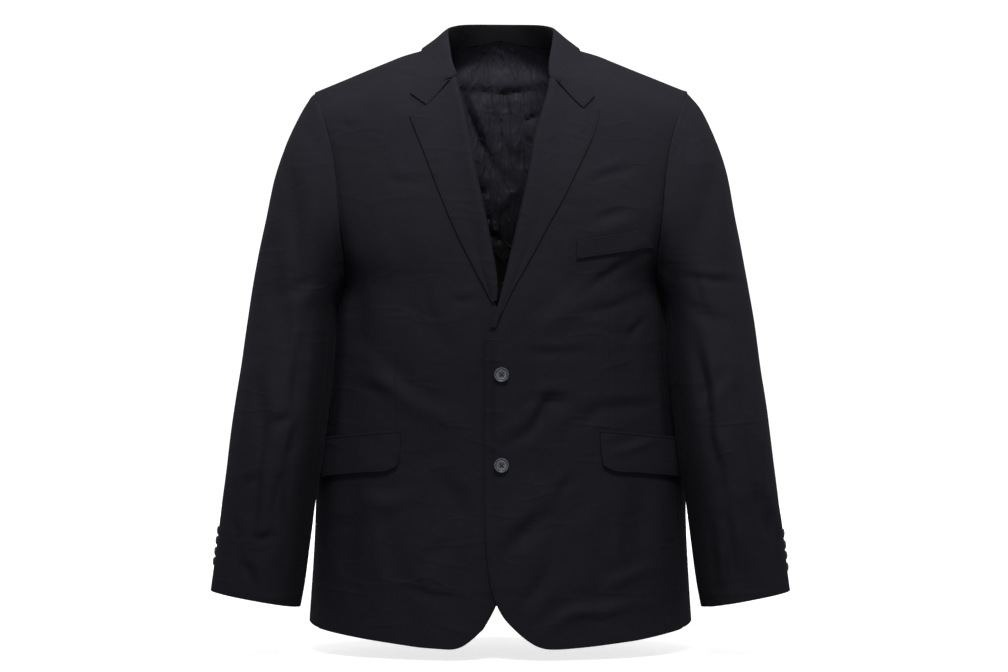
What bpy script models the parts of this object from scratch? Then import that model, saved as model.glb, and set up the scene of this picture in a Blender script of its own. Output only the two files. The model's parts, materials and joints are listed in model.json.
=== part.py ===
"""Single-breasted suit jacket, filled out and hollow. Metres, +Z up, front towards -Y.

The origin lies between the shoulders, level with the points where neck and shoulder meet.
Every panel is a cloth wall with an outer and an inner face, cut from one torso form or from
the sleeve form, so that neighbours meet at their seams with a fine gap.
"""
import math

import bpy
import numpy as np

# ---------------------------------------------------------------- driving dimensions
CLOTH = 0.0018          # thickness of the outer cloth
LINING = 0.0010         # thickness of the back lining
LINING_GAP = 0.0013     # air between the back and its lining
SEAM = 0.0002           # half of the gap at a seam
ROUND = 2.3             # squareness of the body sections (2 is an ellipse)
NECK_HALF = 0.082       # half width of the neck opening at the shoulder seam
NECK_DROP = 1.6         # rows the back neck curve drops below the shoulder seam
SIDE_SEAM = 1.19        # angle of the side seams round the body section
ARM_ANGLE = 1.30        # angle at which front and back end at the armhole
LAP = 0.0026            # how far the upper front stands off the lower one
LAYER = 0.0009          # air under a piece that lies on a panel
BUTTON_RADIUS = 0.0095  # front buttons
CUFF_BUTTON_RADIUS = 0.0057

# Body sections from the shoulder seam down to below the hem:
# half width, front depth, back depth, front depth at the side, back depth at the side,
# front height at the middle, back height at the middle, height at the side
TORSO = (
    (0.2520, 0.0000, 0.0000, 0.0000, 0.0000, 0.0400, 0.0400, -0.0620),
    (0.2435, 0.0400, 0.0620, 0.0260, 0.0260, 0.0120, 0.0365, -0.0800),
    (0.2345, 0.0740, 0.0940, 0.0480, 0.0450, -0.0250, 0.0130, -0.1020),
    (0.2240, 0.1040, 0.1100, 0.0660, 0.0580, -0.0750, -0.0400, -0.1380),
    (0.2165, 0.1240, 0.1190, 0.0760, 0.0640, -0.1350, -0.1050, -0.1850),
    (0.2130, 0.1360, 0.1240, 0.0740, 0.0620, -0.1950, -0.1700, -0.2320),
    (0.2120, 0.1410, 0.1250, 0.0540, 0.0440, -0.2550, -0.2400, -0.2750),
    (0.2135, 0.1425, 0.1230, 0.0000, 0.0000, -0.3050, -0.3000, -0.3150),
    (0.2155, 0.1420, 0.1160, 0.0000, 0.0000, -0.3550, -0.3550, -0.3550),
    (0.2200, 0.1385, 0.1060, 0.0000, 0.0000, -0.4100, -0.4100, -0.4100),
    (0.2275, 0.1345, 0.0990, 0.0000, 0.0000, -0.4650, -0.4650, -0.4650),
    (0.2360, 0.1315, 0.0990, 0.0000, 0.0000, -0.5200, -0.5200, -0.5200),
    (0.2425, 0.1305, 0.1070, 0.0000, 0.0000, -0.5750, -0.5750, -0.5750),
    (0.2445, 0.1315, 0.1170, 0.0000, 0.0000, -0.6300, -0.6300, -0.6300),
    (0.2475, 0.1325, 0.1250, 0.0000, 0.0000, -0.6850, -0.6850, -0.6850),
    (0.2510, 0.1335, 0.1300, 0.0000, 0.0000, -0.7400, -0.7400, -0.7400),
    (0.2540, 0.1345, 0.1330, 0.0000, 0.0000, -0.7950, -0.7950, -0.7950),
)
STRAIGHT_FROM = 8       # from this row down the sections are level and evenly spaced
ROW_STEP = 0.055

# Sleeve sections from the armhole to the cuff:
# outer point x and z, inner point x and z, half depth, how far the middle lies forward
SLEEVE = (
    (0.2530, -0.0630, 0.2130, -0.3200, 0.084, 0.006),
    (0.2649, -0.0858, 0.2150, -0.3275, 0.087, 0.006),
    (0.2781, -0.1188, 0.2158, -0.3330, 0.086, 0.007),
    (0.2913, -0.1584, 0.2162, -0.3380, 0.083, 0.009),
    (0.3018, -0.1980, 0.2165, -0.3435, 0.080, 0.012),
    (0.3111, -0.2442, 0.2170, -0.3510, 0.078, 0.015),
    (0.3195, -0.2904, 0.2177, -0.3625, 0.076, 0.019),
    (0.3268, -0.3360, 0.2188, -0.3790, 0.074, 0.025),
    (0.3328, -0.3840, 0.2202, -0.4050, 0.072, 0.034),
    (0.3390, -0.4340, 0.2238, -0.4460, 0.069, 0.046),
    (0.3455, -0.4820, 0.2285, -0.4890, 0.065, 0.057),
    (0.3500, -0.5260, 0.2330, -0.5310, 0.060, 0.066),
    (0.3545, -0.5670, 0.2385, -0.5720, 0.055, 0.071),
    (0.3588, -0.6040, 0.2430, -0.6110, 0.050, 0.074),
    (0.3638, -0.6400, 0.2480, -0.6490, 0.045, 0.076),
    (0.3678, -0.6750, 0.2530, -0.6890, 0.040, 0.078),
    (0.3714, -0.7044, 0.2594, -0.7250, 0.036, 0.080),
)
CAP_FADE = (1.0, 0.72, 0.48, 0.29, 0.15, 0.06, 0.0)  # how the armhole shape dies away down the sleeve
# angle of the back seam round the sleeve at armhole and cuff, and of the front seam
BACK_SEAM = (-1.45, -0.48)
FRONT_SEAM = (2.45, 2.75)

# Inner edge of the fronts: height, distance from the middle (the wearer's left, then right)
LEFT_EDGE = (
    (0.0064, 0.0820), (-0.0140, 0.0795), (-0.0300, 0.0740), (-0.0470, 0.0685),
    (-0.0836, 0.0611), (-0.1220, 0.0494), (-0.1810, 0.0391), (-0.2536, 0.0226),
    (-0.3105, 0.0087), (-0.3484, -0.0012), (-0.3660, -0.0082), (-0.3780, -0.0190),
    (-0.4000, -0.0195), (-0.6000, -0.0195), (-0.6400, -0.0185), (-0.6750, -0.0155),
    (-0.7025, -0.0105), (-0.7220, -0.0040), (-0.7434, 0.0120),
)
RIGHT_EDGE = (
    (0.0064, 0.0820), (-0.0140, 0.0790), (-0.0300, 0.0720), (-0.0450, 0.0625),
    (-0.1110, 0.0470), (-0.1670, 0.0367), (-0.2334, 0.0226), (-0.3055, 0.0090),
    (-0.3335, 0.0090), (-0.3720, -0.0170), (-0.4000, -0.0180), (-0.6000, -0.0180),
    (-0.6400, -0.0140), (-0.6750, -0.0080), (-0.7025, -0.0010), (-0.7250, 0.0080),
    (-0.7490, 0.0220),
)
# Hem of the fronts: distance from the middle, height
LEFT_HEM = ((0.0120, -0.7434), (0.0310, -0.7636), (0.0563, -0.7750), (0.1000, -0.7735),
            (0.1780, -0.7660), (0.2400, -0.7565))
RIGHT_HEM = ((0.0220, -0.7490), (0.0380, -0.7665), (0.0577, -0.7750), (0.1000, -0.7730),
             (0.1780, -0.7640), (0.2400, -0.7560))
SIDE_HEM = -0.7500
BACK_HEM = -0.7484

# Lapels, from the lowest button up: roll line and outer edge as distance and height
LEFT_ROLL = ((-0.0115, -0.3660), (-0.0045, -0.3484), (0.0057, -0.3105), (0.0196, -0.2536),
             (0.0361, -0.1810), (0.0464, -0.1220), (0.0581, -0.0836), (0.0655, -0.0485))
LEFT_LAPEL = ((-0.0062, -0.3668), (0.0120, -0.3257), (0.0424, -0.2710), (0.0627, -0.2329),
              (0.0807, -0.2008), (0.0973, -0.1663), (0.1127, -0.1340), (0.1219, -0.1081),
              (0.1257, -0.0874))
RIGHT_ROLL = ((0.0062, -0.3330), (0.0062, -0.3055), (0.0196, -0.2334), (0.0337, -0.1670),
              (0.0440, -0.1110), (0.0585, -0.0470))
RIGHT_LAPEL = ((0.0105, -0.3350), (0.0336, -0.2901), (0.0564, -0.2446), (0.0769, -0.1958),
               (0.0937, -0.1519), (0.1130, -0.1040), (0.1156, -0.0966))
# Across a lapel from the hidden end under the roll: distance from the roll line, height over the panel
ROLL_SECTION = ((0.0017, -0.0009), (-0.0004, -0.0004), (-0.0019, 0.0016), (-0.0006, 0.0038),
                (0.0040, 0.0046), (0.0120, 0.0032))

# Collar from the middle of the back to the notch:
# neck seam x and row, fold x, y, z, outer edge x and row (rows of the torso, back rows negative)
COLLAR = (
    (0.0000, -1.555, 0.0000, 0.0875, 0.0440, 0.0000, -2.42),
    (0.0275, -1.457, 0.0300, 0.0822, 0.0432, 0.0400, -2.32),
    (0.0520, -1.165, 0.0520, 0.0630, 0.0400, 0.0700, -1.95),
    (0.0672, -0.80, 0.0645, 0.0380, 0.0345, 0.0880, -1.30),
    (0.0757, -0.40, 0.0695, 0.0130, 0.0285, 0.0970, -0.55),
    (0.0783, 0.10, 0.0695, -0.0120, 0.0185, 0.1010, 0.15),
    (0.0750, 0.75, 0.0670, -0.0350, 0.0015, 0.1040, 0.62),
    (0.0680, 1.40, 0.0635, -0.0580, -0.0200, 0.1070, 1.10),
)
STAND_DROP = 0.0045     # how far the stand reaches down inside the neck edge
# The flat front end of the collar: gorge point x and z, outer edge point x and z
LEFT_COLLAR_END = ((0.0662, -0.0440, 0.1125, -0.0440), (0.0862, -0.0668, 0.1165, -0.0570),
                   (0.1052, -0.0872, 0.1199, -0.0721))
RIGHT_COLLAR_END = ((0.0592, -0.0425, 0.1095, -0.0430), (0.0775, -0.0638, 0.1120, -0.0560),
                    (0.0945, -0.0822, 0.1149, -0.0683))

# Pocket flap: distance of its inner end from the middle, top and bottom height at the inner and outer end
FLAP_IN = 0.1262
FLAP_ENDS = ((-0.5005, -0.5165), (-0.5480, -0.5630))
FLAP_END_ANGLE = 1.40   # where the flap ends round the side
JETTING_HEIGHT = 0.0040
# Breast welt corners in x and z: lower inner, lower outer, upper outer, upper inner
WELT = ((0.0957, -0.2800), (0.1962, -0.2637), (0.1793, -0.2434), (0.0957, -0.2570))

FRONT_BUTTONS = (-0.4259, -0.5410)
BUTTON_X = 0.0012
# heights of the cuff buttons on the wearer's left and right sleeve
CUFF_BUTTONS = ((-0.645, -0.657, -0.669, -0.681), (-0.632, -0.644, -0.656, -0.668))

# base colour, roughness, metallic
WOOL = (0.0100, 0.0100, 0.0145, 1.0)
SATIN = (0.0120, 0.0125, 0.0200, 1.0)
HORN = (0.0250, 0.0300, 0.0430, 1.0)


# ---------------------------------------------------------------- small helpers
def power(value, exponent):
    """Signed power."""
    return math.copysign(abs(value) ** exponent, value)


def spline(rows, where):
    """Smooth curve through the rows of a table, at a fractional row."""
    last = len(rows) - 1
    where = min(max(where, 0.0), float(last))
    base = min(int(where), last - 1)
    t = where - base
    p1 = np.asarray(rows[base], float)
    p2 = np.asarray(rows[base + 1], float)
    p0 = np.asarray(rows[base - 1], float) if base > 0 else 2 * p1 - p2
    p3 = np.asarray(rows[base + 2], float) if base + 2 <= last else 2 * p2 - p1
    return p1 + 0.5 * t * (p2 - p0 + t * (2 * p0 - 5 * p1 + 4 * p2 - p3 + t * (3 * (p1 - p2) + p3 - p0)))


def along(points, fraction):
    """Point on a polyline at a fraction of its length, rounded like a drawn curve."""
    pts = np.asarray(points, float)
    lengths = np.concatenate(([0.0], np.cumsum(np.linalg.norm(np.diff(pts, axis=0), axis=1))))
    row = np.interp(fraction * lengths[-1], lengths, np.arange(len(pts)))
    return spline(pts, row)


def table(points, key):
    """Read the second column of a table at a key of its falling or rising first column."""
    keys = [p[0] for p in points]
    values = [p[1] for p in points]
    if keys[0] > keys[-1]:
        keys = keys[::-1]
        values = values[::-1]
    return float(np.interp(key, keys, values))


def ease(value):
    """Smooth step from 0 to 1."""
    value = min(max(value, 0.0), 1.0)
    return value * value * (3 - 2 * value)


# ---------------------------------------------------------------- torso form
def torso_rows():
    """One list of sections from the back hem over the shoulder to the front hem.

    Columns: half width, y at the middle, y at the side, z at the middle, z at the side.
    """
    back = [(r[0], r[2], r[4], r[6], r[7]) for r in reversed(TORSO[1:])]
    front = [(r[0], -r[1], -r[3], r[5], r[7]) for r in TORSO]
    return np.array(back + front)


ROWS = torso_rows()
MIDDLE = len(TORSO) - 1


def section(row):
    return spline(ROWS, row + MIDDLE)


def level(row, z_mid, z_side, s):
    """Height across a section: straight at the shoulder seam, flatter at the middle below it."""
    return z_mid + (z_side - z_mid) * abs(s) ** (1.0 + 0.4 * ease(abs(row) / 2.5))


def torso_base(angle, row, lap):
    half, y_mid, y_side, z_mid, z_side = section(row)
    s = power(math.sin(angle), 2 / ROUND)
    k = power(math.cos(angle), 2 / ROUND)
    x = half * s
    y = y_side + (y_mid - y_side) * k
    z = level(row, z_mid, z_side, s)
    if lap and row > 0:
        y -= LAP * ease((0.055 - x) / 0.03) * ease((row - 6.3) / 1.2)
    return np.array((x, y, z))


def torso(angle, row, height=0.0, lap=False):
    """Point on the body at an angle round the section, raised along the outward normal."""
    base = torso_base(angle, row, lap)
    if height == 0.0:
        return base
    step = 0.004
    along_row = torso_base(angle + step, row, lap) - torso_base(angle - step, row, lap)
    down = torso_base(angle, row + step, lap) - torso_base(angle, row - step, lap)
    normal = np.cross(down, along_row)
    return base + height * normal / np.linalg.norm(normal)


def angle_at(x, row):
    """Angle round the section where the body is at the distance x from the middle."""
    half = section(row)[0]
    s = min(max(x / half, -0.999), 0.999)
    return math.asin(power(s, ROUND / 2))


def row_at(x, z):
    """Front row that passes through the point x, z."""
    low, high = 0.0, float(MIDDLE)
    for _ in range(36):
        mid = (low + high) / 2
        half, _, _, z_mid, z_side = section(mid)
        if level(mid, z_mid, z_side, x / half) > z:
            low = mid
        else:
            high = mid
    return (low + high) / 2


def row_of_height(z):
    return STRAIGHT_FROM + (TORSO[STRAIGHT_FROM][7] - z) / ROW_STEP


def on_front(x, z, height, lap=False):
    """Point over the front at x, z as seen from the front."""
    row = row_at(x, z)
    return torso(angle_at(x, row), row, height, lap)


def outer_angle(row):
    """Angle where front and back panels end: the armhole, then the side seam."""
    return ARM_ANGLE + (SIDE_SEAM - ARM_ANGLE) * ease((abs(row) - 4.6) / 2.0)


# ---------------------------------------------------------------- solids
def material(name, colour, roughness, metallic):
    mat = bpy.data.materials.get(name)
    if mat is None:
        mat = bpy.data.materials.new(name)
        mat.use_nodes = True
        shader = mat.node_tree.nodes["Principled BSDF"]
        shader.inputs["Base Color"].default_value = colour
        shader.inputs["Roughness"].default_value = roughness
        shader.inputs["Metallic"].default_value = metallic
        mat.diffuse_color = colour
    return mat


def add_solid(name, verts, faces, mat, sharp=math.radians(50)):
    mesh = bpy.data.meshes.new(name)
    mesh.from_pydata([tuple(v) for v in verts], [], faces)
    mesh.materials.append(mat)
    mesh.shade_smooth()
    mesh.set_sharp_from_angle(angle=sharp)
    obj = bpy.data.objects.new(name, mesh)
    bpy.context.scene.collection.objects.link(obj)
    return obj


def wall(name, outer, inner, mat):
    """Closed wall between two grids of points, its faces turned outwards."""
    outer = np.asarray(outer)
    inner = np.asarray(inner)
    rows, cols = outer.shape[:2]
    verts = np.concatenate((outer.reshape(-1, 3), inner.reshape(-1, 3)))
    shift = rows * cols

    def at(i, j):
        return i * cols + j

    faces = []
    for i in range(rows - 1):
        for j in range(cols - 1):
            quad = (at(i, j), at(i, j + 1), at(i + 1, j + 1), at(i + 1, j))
            faces.append(quad)
            faces.append(tuple(shift + v for v in reversed(quad)))
    border = [(at(0, j), at(0, j + 1)) for j in range(cols - 1)]
    border += [(at(i, cols - 1), at(i + 1, cols - 1)) for i in range(rows - 1)]
    border += [(at(rows - 1, j + 1), at(rows - 1, j)) for j in reversed(range(cols - 1))]
    border += [(at(i + 1, 0), at(i, 0)) for i in reversed(range(rows - 1))]
    for a, b in border:
        faces.append((b, a, shift + a, shift + b))
    volume = 0.0
    for face in faces:
        for k in range(1, len(face) - 1):
            volume += np.dot(verts[face[0]], np.cross(verts[face[k]], verts[face[k + 1]]))
    if volume < 0:
        faces = [tuple(reversed(face)) for face in faces]
    return add_solid(name, verts, faces, mat)


def grid_normals(grid):
    """Unit normals of a grid of points."""
    across = np.gradient(grid, axis=1)
    down = np.gradient(grid, axis=0)
    normals = np.cross(down, across)
    return normals / np.linalg.norm(normals, axis=2, keepdims=True)


def mirrored(points, side):
    points = np.asarray(points, float).copy()
    points[..., 0] *= side
    return points


def slab(name, grid, thickness, mat):
    """Wall of even thickness about a grid of middle points."""
    grid = np.asarray(grid, float)
    offset = grid_normals(grid) * thickness / 2
    return wall(name, grid + offset, grid - offset, mat)


# ---------------------------------------------------------------- fronts, sides, back
def edge_x(edge, row):
    """Distance of the front edge from the middle on one torso row."""
    half, _, _, z_mid, z_side = section(row)
    x = 0.05
    for _ in range(12):
        x = table(edge, level(row, z_mid, z_side, x / half))
    return x


FRONT_ROWS = (0.006, 0.5, 1.0, 1.6, 2.2, 3.0, 3.8, 4.6, 5.4, 6.1, 6.6, 7.0, 7.55, 8.0, 8.2, 8.4, 9.0, 10.0, 11.0, 12.0, 13.0)
HEM_ROWS = (0.25, 0.48, 0.68, 0.85, 1.0)
FRONT_COLUMNS = 12


def make_front(name, side, edge, hem, mat):
    lap = side > 0
    corner = row_of_height(hem[0][1])
    rows = list(FRONT_ROWS) + [FRONT_ROWS[-1] + step for step in HEM_ROWS]
    outer = []
    inner = []
    for number, row in enumerate(rows):
        line_out = []
        line_in = []
        for j in range(FRONT_COLUMNS + 1):
            u = j / FRONT_COLUMNS
            r = row
            if number >= len(FRONT_ROWS):
                start = FRONT_ROWS[-1]
                part = HEM_ROWS[number - len(FRONT_ROWS)]
                end_x = hem[0][0] + u * (hem[-1][0] - hem[0][0])
                for _ in range(4):
                    end = row_of_height(table(hem, end_x))
                    first = angle_at(edge_x(edge, min(end, corner)), end)
                    end_x = section(end)[0] * power(math.sin(first + u * (SIDE_SEAM - first)), 2 / ROUND)
                end = row_of_height(table(hem, end_x))
                r = start + (end - start) * part
            first = angle_at(edge_x(edge, min(r, corner)), r)
            angle = first + u * (outer_angle(r) - 0.0013 - first)
            line_out.append(torso(angle, r, 0.0, lap))
            line_in.append(torso(angle, r, -CLOTH, lap))
        outer.append(line_out)
        inner.append(line_in)
    return wall(name, mirrored(outer, side), mirrored(inner, side), mat)


BACK_ROWS = (0.006, 0.42, 0.8, 1.1, 1.32, 1.48, 1.57, 1.6, 2.3, 3.1, 4.0, 5.0, 6.0, 6.6, 7.0, 7.55, 8.4, 9.0, 10.0, 11.0, 12.0, 13.0, 14.1)
BACK_COLUMNS = 10


def neck_x(row, half=NECK_HALF, drop=NECK_DROP):
    """Distance of the back neck curve from the middle."""
    if row >= drop:
        return SEAM * 1.2
    return max(half * math.sqrt(1 - (row / drop) ** 2), SEAM * 1.2)


def back_grid(rows, columns, outset, height, half=NECK_HALF, drop=NECK_DROP):
    grid = []
    for row in rows:
        line = []
        first = angle_at(neck_x(row, half, drop), -row)
        last = outer_angle(row) - outset
        for j in range(columns + 1):
            line.append(torso(first + (last - first) * j / columns, -row, height))
        grid.append(line)
    return grid


def make_back(name, side, mat):
    rows = list(BACK_ROWS) + [row_of_height(BACK_HEM)]
    outer = back_grid(rows, BACK_COLUMNS, 0.0013, 0.0)
    inner = back_grid(rows, BACK_COLUMNS, 0.0013, -CLOTH)
    return wall(name, mirrored(outer, side), mirrored(inner, side), mat)


LINING_ROWS = (0.10, 0.42, 0.8, 1.1, 1.38, 1.56, 1.66, 2.3, 3.1, 4.0, 5.0, 6.0, 6.6, 7.0, 7.55, 8.4, 9.0, 10.0, 11.0, 12.0, 13.0, 14.1, 14.8)


def make_lining(name, side, mat):
    top = -(CLOTH + LINING_GAP)
    outer = back_grid(LINING_ROWS, BACK_COLUMNS, 0.02, top, 0.084, 1.66)
    inner = back_grid(LINING_ROWS, BACK_COLUMNS, 0.02, top - LINING, 0.084, 1.66)
    return wall(name, mirrored(outer, side), mirrored(inner, side), mat)


SIDE_ROWS = (7.55, 8.4, 9.0, 10.0, 11.0, 12.0, 13.0, 14.1)
SIDE_COLUMNS = 6


def side_point(u, row, height):
    """Side panel: u runs from the front seam at -1 through the side to the back seam at 1."""
    span = math.pi / 2 - SIDE_SEAM - 0.0013
    angle = math.pi / 2 - abs(u) * span
    if abs(u) < 1e-9:
        angle = math.pi / 2 - 0.006
        ends = [torso(angle, row, height), torso(angle, -row, height)]
        point = (ends[0] + ends[1]) / 2
        point[0] = section(row)[0] + height
        return point
    return torso(angle, row if u < 0 else -row, height)


def armhole_bottom(u):
    return 7.0 + 0.25 * (1 - u * u)


def make_side(name, side, mat):
    outer = []
    inner = []
    for step in range(len(SIDE_ROWS) + 2):
        line_out = []
        line_in = []
        for j in range(SIDE_COLUMNS + 1):
            u = -1 + 2 * j / SIDE_COLUMNS
            hem = SIDE_HEM + (LEFT_HEM[-1][1] - SIDE_HEM) * max(-u, 0) ** 1.5 + (BACK_HEM - SIDE_HEM) * max(u, 0)
            row = ([armhole_bottom(u)] + list(SIDE_ROWS) + [row_of_height(hem)])[step]
            line_out.append(side_point(u, row, 0.0))
            line_in.append(side_point(u, row, -CLOTH))
        outer.append(line_out)
        inner.append(line_in)
    return wall(name, mirrored(outer, side), mirrored(inner, side), mat)


# ---------------------------------------------------------------- sleeves
def sleeve_ellipse(angle, row):
    ox, oz, ix, iz, half, forward = spline(SLEEVE, row)
    c = power(math.cos(angle), 0.92)
    s = power(math.sin(angle), 0.92)
    return np.array((
        (ox + ix) / 2 + (ox - ix) / 2 * c,
        -forward - half * s,
        (oz + iz) / 2 + (oz - iz) / 2 * c,
    ))


def armhole_curve():
    """The armhole from the shoulder round the front, the bottom and the back."""
    points = [torso(ARM_ANGLE, 0.0)]
    for row in np.linspace(0.25, 7.0, 28):
        points.append(torso(outer_angle(row), row))
    for u in np.linspace(-0.8, 0.8, 9):
        points.append(side_point(u, armhole_bottom(u), 0.0))
    for row in np.linspace(7.0, 0.25, 28):
        points.append(torso(outer_angle(row), -row))
    return np.array(points)


def armhole_table():
    """Armhole points set against the angle round the sleeve."""
    pts = armhole_curve()
    ox, oz, ix, iz, half, forward = SLEEVE[0]
    axis = np.array((ox - ix, oz - iz)) / 2
    length = np.linalg.norm(axis)
    c = ((pts[:, 0] - (ox + ix) / 2) * axis[0] + (pts[:, 2] - (oz + iz) / 2) * axis[1]) / length ** 2
    s = -(pts[:, 1] + forward) / half
    angles = np.unwrap(np.arctan2(s, c))
    angles = angles - angles[0]
    angles = np.append(angles, 2 * math.pi)
    pts = np.vstack((pts, pts[:1]))
    return angles, pts


ARM_ANGLES, ARM_POINTS = armhole_table()
ARM_GAP = 0.0010
ARM_GAP_LOW = 0.0018     # further air under the arm


def armhole_point(angle):
    angle = angle % (2 * math.pi)
    point = [np.interp(angle, ARM_ANGLES, ARM_POINTS[:, k]) for k in range(3)]
    point[0] += ARM_GAP + ARM_GAP_LOW * ease((abs(angle - math.pi) - 1.3) / -0.6)
    return np.array(point)


def sleeve_base(angle, row):
    fade = np.interp(row, range(len(CAP_FADE)), CAP_FADE)
    point = sleeve_ellipse(angle, row)
    if fade > 0:
        point = point + fade * (armhole_point(angle) - sleeve_ellipse(angle, 0.0))
    return point


def sleeve_point(angle, row, height=0.0):
    base = sleeve_base(angle, row)
    if height == 0.0:
        return base
    step = 0.03
    around = sleeve_base(angle + step, row) - sleeve_base(angle - step, row)
    low = max(row - step * 2, 0.0)
    high = min(row + step * 2, len(SLEEVE) - 1.0)
    down = sleeve_base(angle, high) - sleeve_base(angle, low)
    normal = np.cross(down, around)
    normal = normal / np.linalg.norm(normal)
    return base + height * normal


SLEEVE_ROWS = (0.0, 0.5, 1.0, 1.7, 2.5, 3.4, 4.4, 5.5, 6.6, 7.7, 8.8, 9.9, 11.0, 12.1, 13.1, 14.1, 15.1, 16.0)


def seam_angle(ends, row):
    return ends[0] + (ends[1] - ends[0]) * row / (len(SLEEVE) - 1)


def make_sleeve(name, side, columns, under, mat):
    outer = []
    inner = []
    for row in SLEEVE_ROWS:
        first = seam_angle(BACK_SEAM, row)
        last = seam_angle(FRONT_SEAM, row)
        if under:
            first, last = last, first + 2 * math.pi
        line_out = []
        line_in = []
        for j in range(columns + 1):
            angle = first + 0.004 + (last - first - 0.008) * j / columns
            line_out.append(sleeve_point(angle, row))
            line_in.append(sleeve_point(angle, row, -CLOTH))
        outer.append(line_out)
        inner.append(line_in)
    return wall(name, mirrored(outer, side), mirrored(inner, side), mat)


# ---------------------------------------------------------------- lapels and collar
LAPEL_ROWS = 12
FLAT_STEPS = (0.3, 0.58, 0.8, 1.0)
NOTCH_STEP = 0.58
GORGE_FROM = 0.72       # where up the lapel its rows begin to bend towards the gorge


def make_lapel(name, side, roll, edge, gorge, mat):
    lap = side > 0
    grid = []
    for i in range(LAPEL_ROWS + 1):
        w = i / LAPEL_ROWS
        start = along(roll, w)
        end = along(edge, w)
        reach = end - start
        width = np.linalg.norm(reach)
        reach = reach / width
        scale = min(1.0, width / 0.022)
        flat = LAYER + CLOTH / 2
        places = [(d * scale if d > 0 else d * max(scale, 0.6), flat + (h - flat) * scale if h > flat else h)
                  for d, h in ROLL_SECTION]
        flat_from = places[-1][0]
        for part in FLAT_STEPS:
            places.append((flat_from + (width - flat_from) * part, flat))
        line = []
        for d, h in places:
            x, z = start + reach * d
            if w > GORGE_FROM and d > 0:
                corner = flat_from + (width - flat_from) * NOTCH_STEP
                bend = min(d / corner, (width - d) / (width - corner))
                z -= gorge * max(bend, 0.0) * (w - GORGE_FROM) / (1 - GORGE_FROM)
            line.append(on_front(x, z, h, lap))
        grid.append(line)
    return slab(name, mirrored(grid, side), CLOTH, mat)


def collar_section(neck, fold, edge):
    """Eight points from the neck seam up over the fold and down to the outer edge."""
    down_in = (neck - fold) / np.linalg.norm(neck - fold)
    down_out = (edge - fold) / np.linalg.norm(edge - fold)
    top = -(down_in + down_out)
    top = top / np.linalg.norm(top)
    across = down_out - down_in
    across = across / np.linalg.norm(across)
    inside = fold - top * 0.0042 - across * 0.0026
    outside = fold - top * 0.0042 + across * 0.0030
    first = outside + (edge - outside) * 0.33 + across * 0.0010
    second = outside + (edge - outside) * 0.66 + across * 0.0010
    return [neck, neck + (inside - neck) * 0.5 - across * 0.0006, inside, fold, outside, first, second, edge]


def collar_half(ends, lap):
    """Lines across the collar from the middle of the back to the notch of one side."""
    lines = []
    for part in np.linspace(0, len(COLLAR) - 1, 11):
        nx, nrow, fx, fy, fz, ex, erow = spline(COLLAR, part)
        neck = torso(angle_at(nx, nrow), nrow, -0.0007)
        drop = 1 - ease((part - 4.5) / 2.0)
        neck = neck - np.array((0.0, 0.0016 * (1 - part / 7), STAND_DROP)) * drop
        edge = torso(angle_at(ex, erow), erow, 0.0026)
        lines.append(collar_section(neck, np.array((fx, fy, fz)), edge))
    for part in (0.0, 0.35, 1.0, 2.0):
        gx, gz, ex, ez = spline(ends, part)
        start = np.array((gx, gz))
        reach = np.array((ex, ez)) - start
        width = np.linalg.norm(reach)
        if part == 0.0:
            places = [(d - 0.0008, max(h, 0.0013)) for d, h in ROLL_SECTION[:5]]
        else:
            lift = LAYER + CLOTH / 2 + 0.0010 * max(1 - part, 0.0)
            places = [(0.0, lift), (0.0016, lift), (0.0034, lift), (0.0056, lift), (0.0100, lift)]
        for step in (0.33, 0.66, 1.0):
            places.append((0.010 + (width - 0.010) * step, 0.0022))
        line = []
        for d, h in places:
            x, z = start + reach * d / width
            line.append(on_front(x, z, h, lap))
        lines.append(line)
    return np.array(lines)


def make_collar(name, mat):
    left = collar_half(LEFT_COLLAR_END, False)
    right = mirrored(collar_half(RIGHT_COLLAR_END, False), -1)
    grid = np.concatenate((right[:0:-1], left))
    return slab(name, grid, CLOTH, mat)


# ---------------------------------------------------------------- pockets
def make_flap(name, side, mat):
    lap = side > 0
    (top_in, top_out), (low_in, low_out) = FLAP_ENDS
    outer = []
    inner = []
    for i in range(4):
        w = i / 3
        line_out = []
        line_in = []
        for j in range(10):
            u = j / 9
            corner = ease(1 - u / 0.10) * 0.006
            top = top_in + (top_out - top_in) * u
            low = low_in + (low_out - low_in) * u + corner
            z = top + (low - top) * w
            row = row_of_height(z)
            first = angle_at(FLAP_IN + corner * 0.6 * w * w, row)
            angle = first + (FLAP_END_ANGLE - first) * u
            lift = LAYER + 0.0012 * w
            line_out.append(torso(angle, row, lift + CLOTH * 1.3, lap))
            line_in.append(torso(angle, row, lift, lap))
        outer.append(line_out)
        inner.append(line_in)
    return wall(name, mirrored(outer, side), mirrored(inner, side), mat)


def make_jetting(name, side, mat):
    lap = side > 0
    top_in, top_out = FLAP_ENDS[0]
    outer = []
    inner = []
    for w in (0.0, 1.0):
        line_out = []
        line_in = []
        for j in range(10):
            u = j / 9
            low = top_in + (top_out - top_in) * u + 0.0004
            row = row_of_height(low + JETTING_HEIGHT * (1 - w))
            first = angle_at(FLAP_IN, row)
            angle = first + (FLAP_END_ANGLE - first) * u
            line_out.append(torso(angle, row, LAYER + CLOTH, lap))
            line_in.append(torso(angle, row, LAYER, lap))
        outer.append(line_out)
        inner.append(line_in)
    return wall(name, mirrored(outer, side), mirrored(inner, side), mat)


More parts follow.
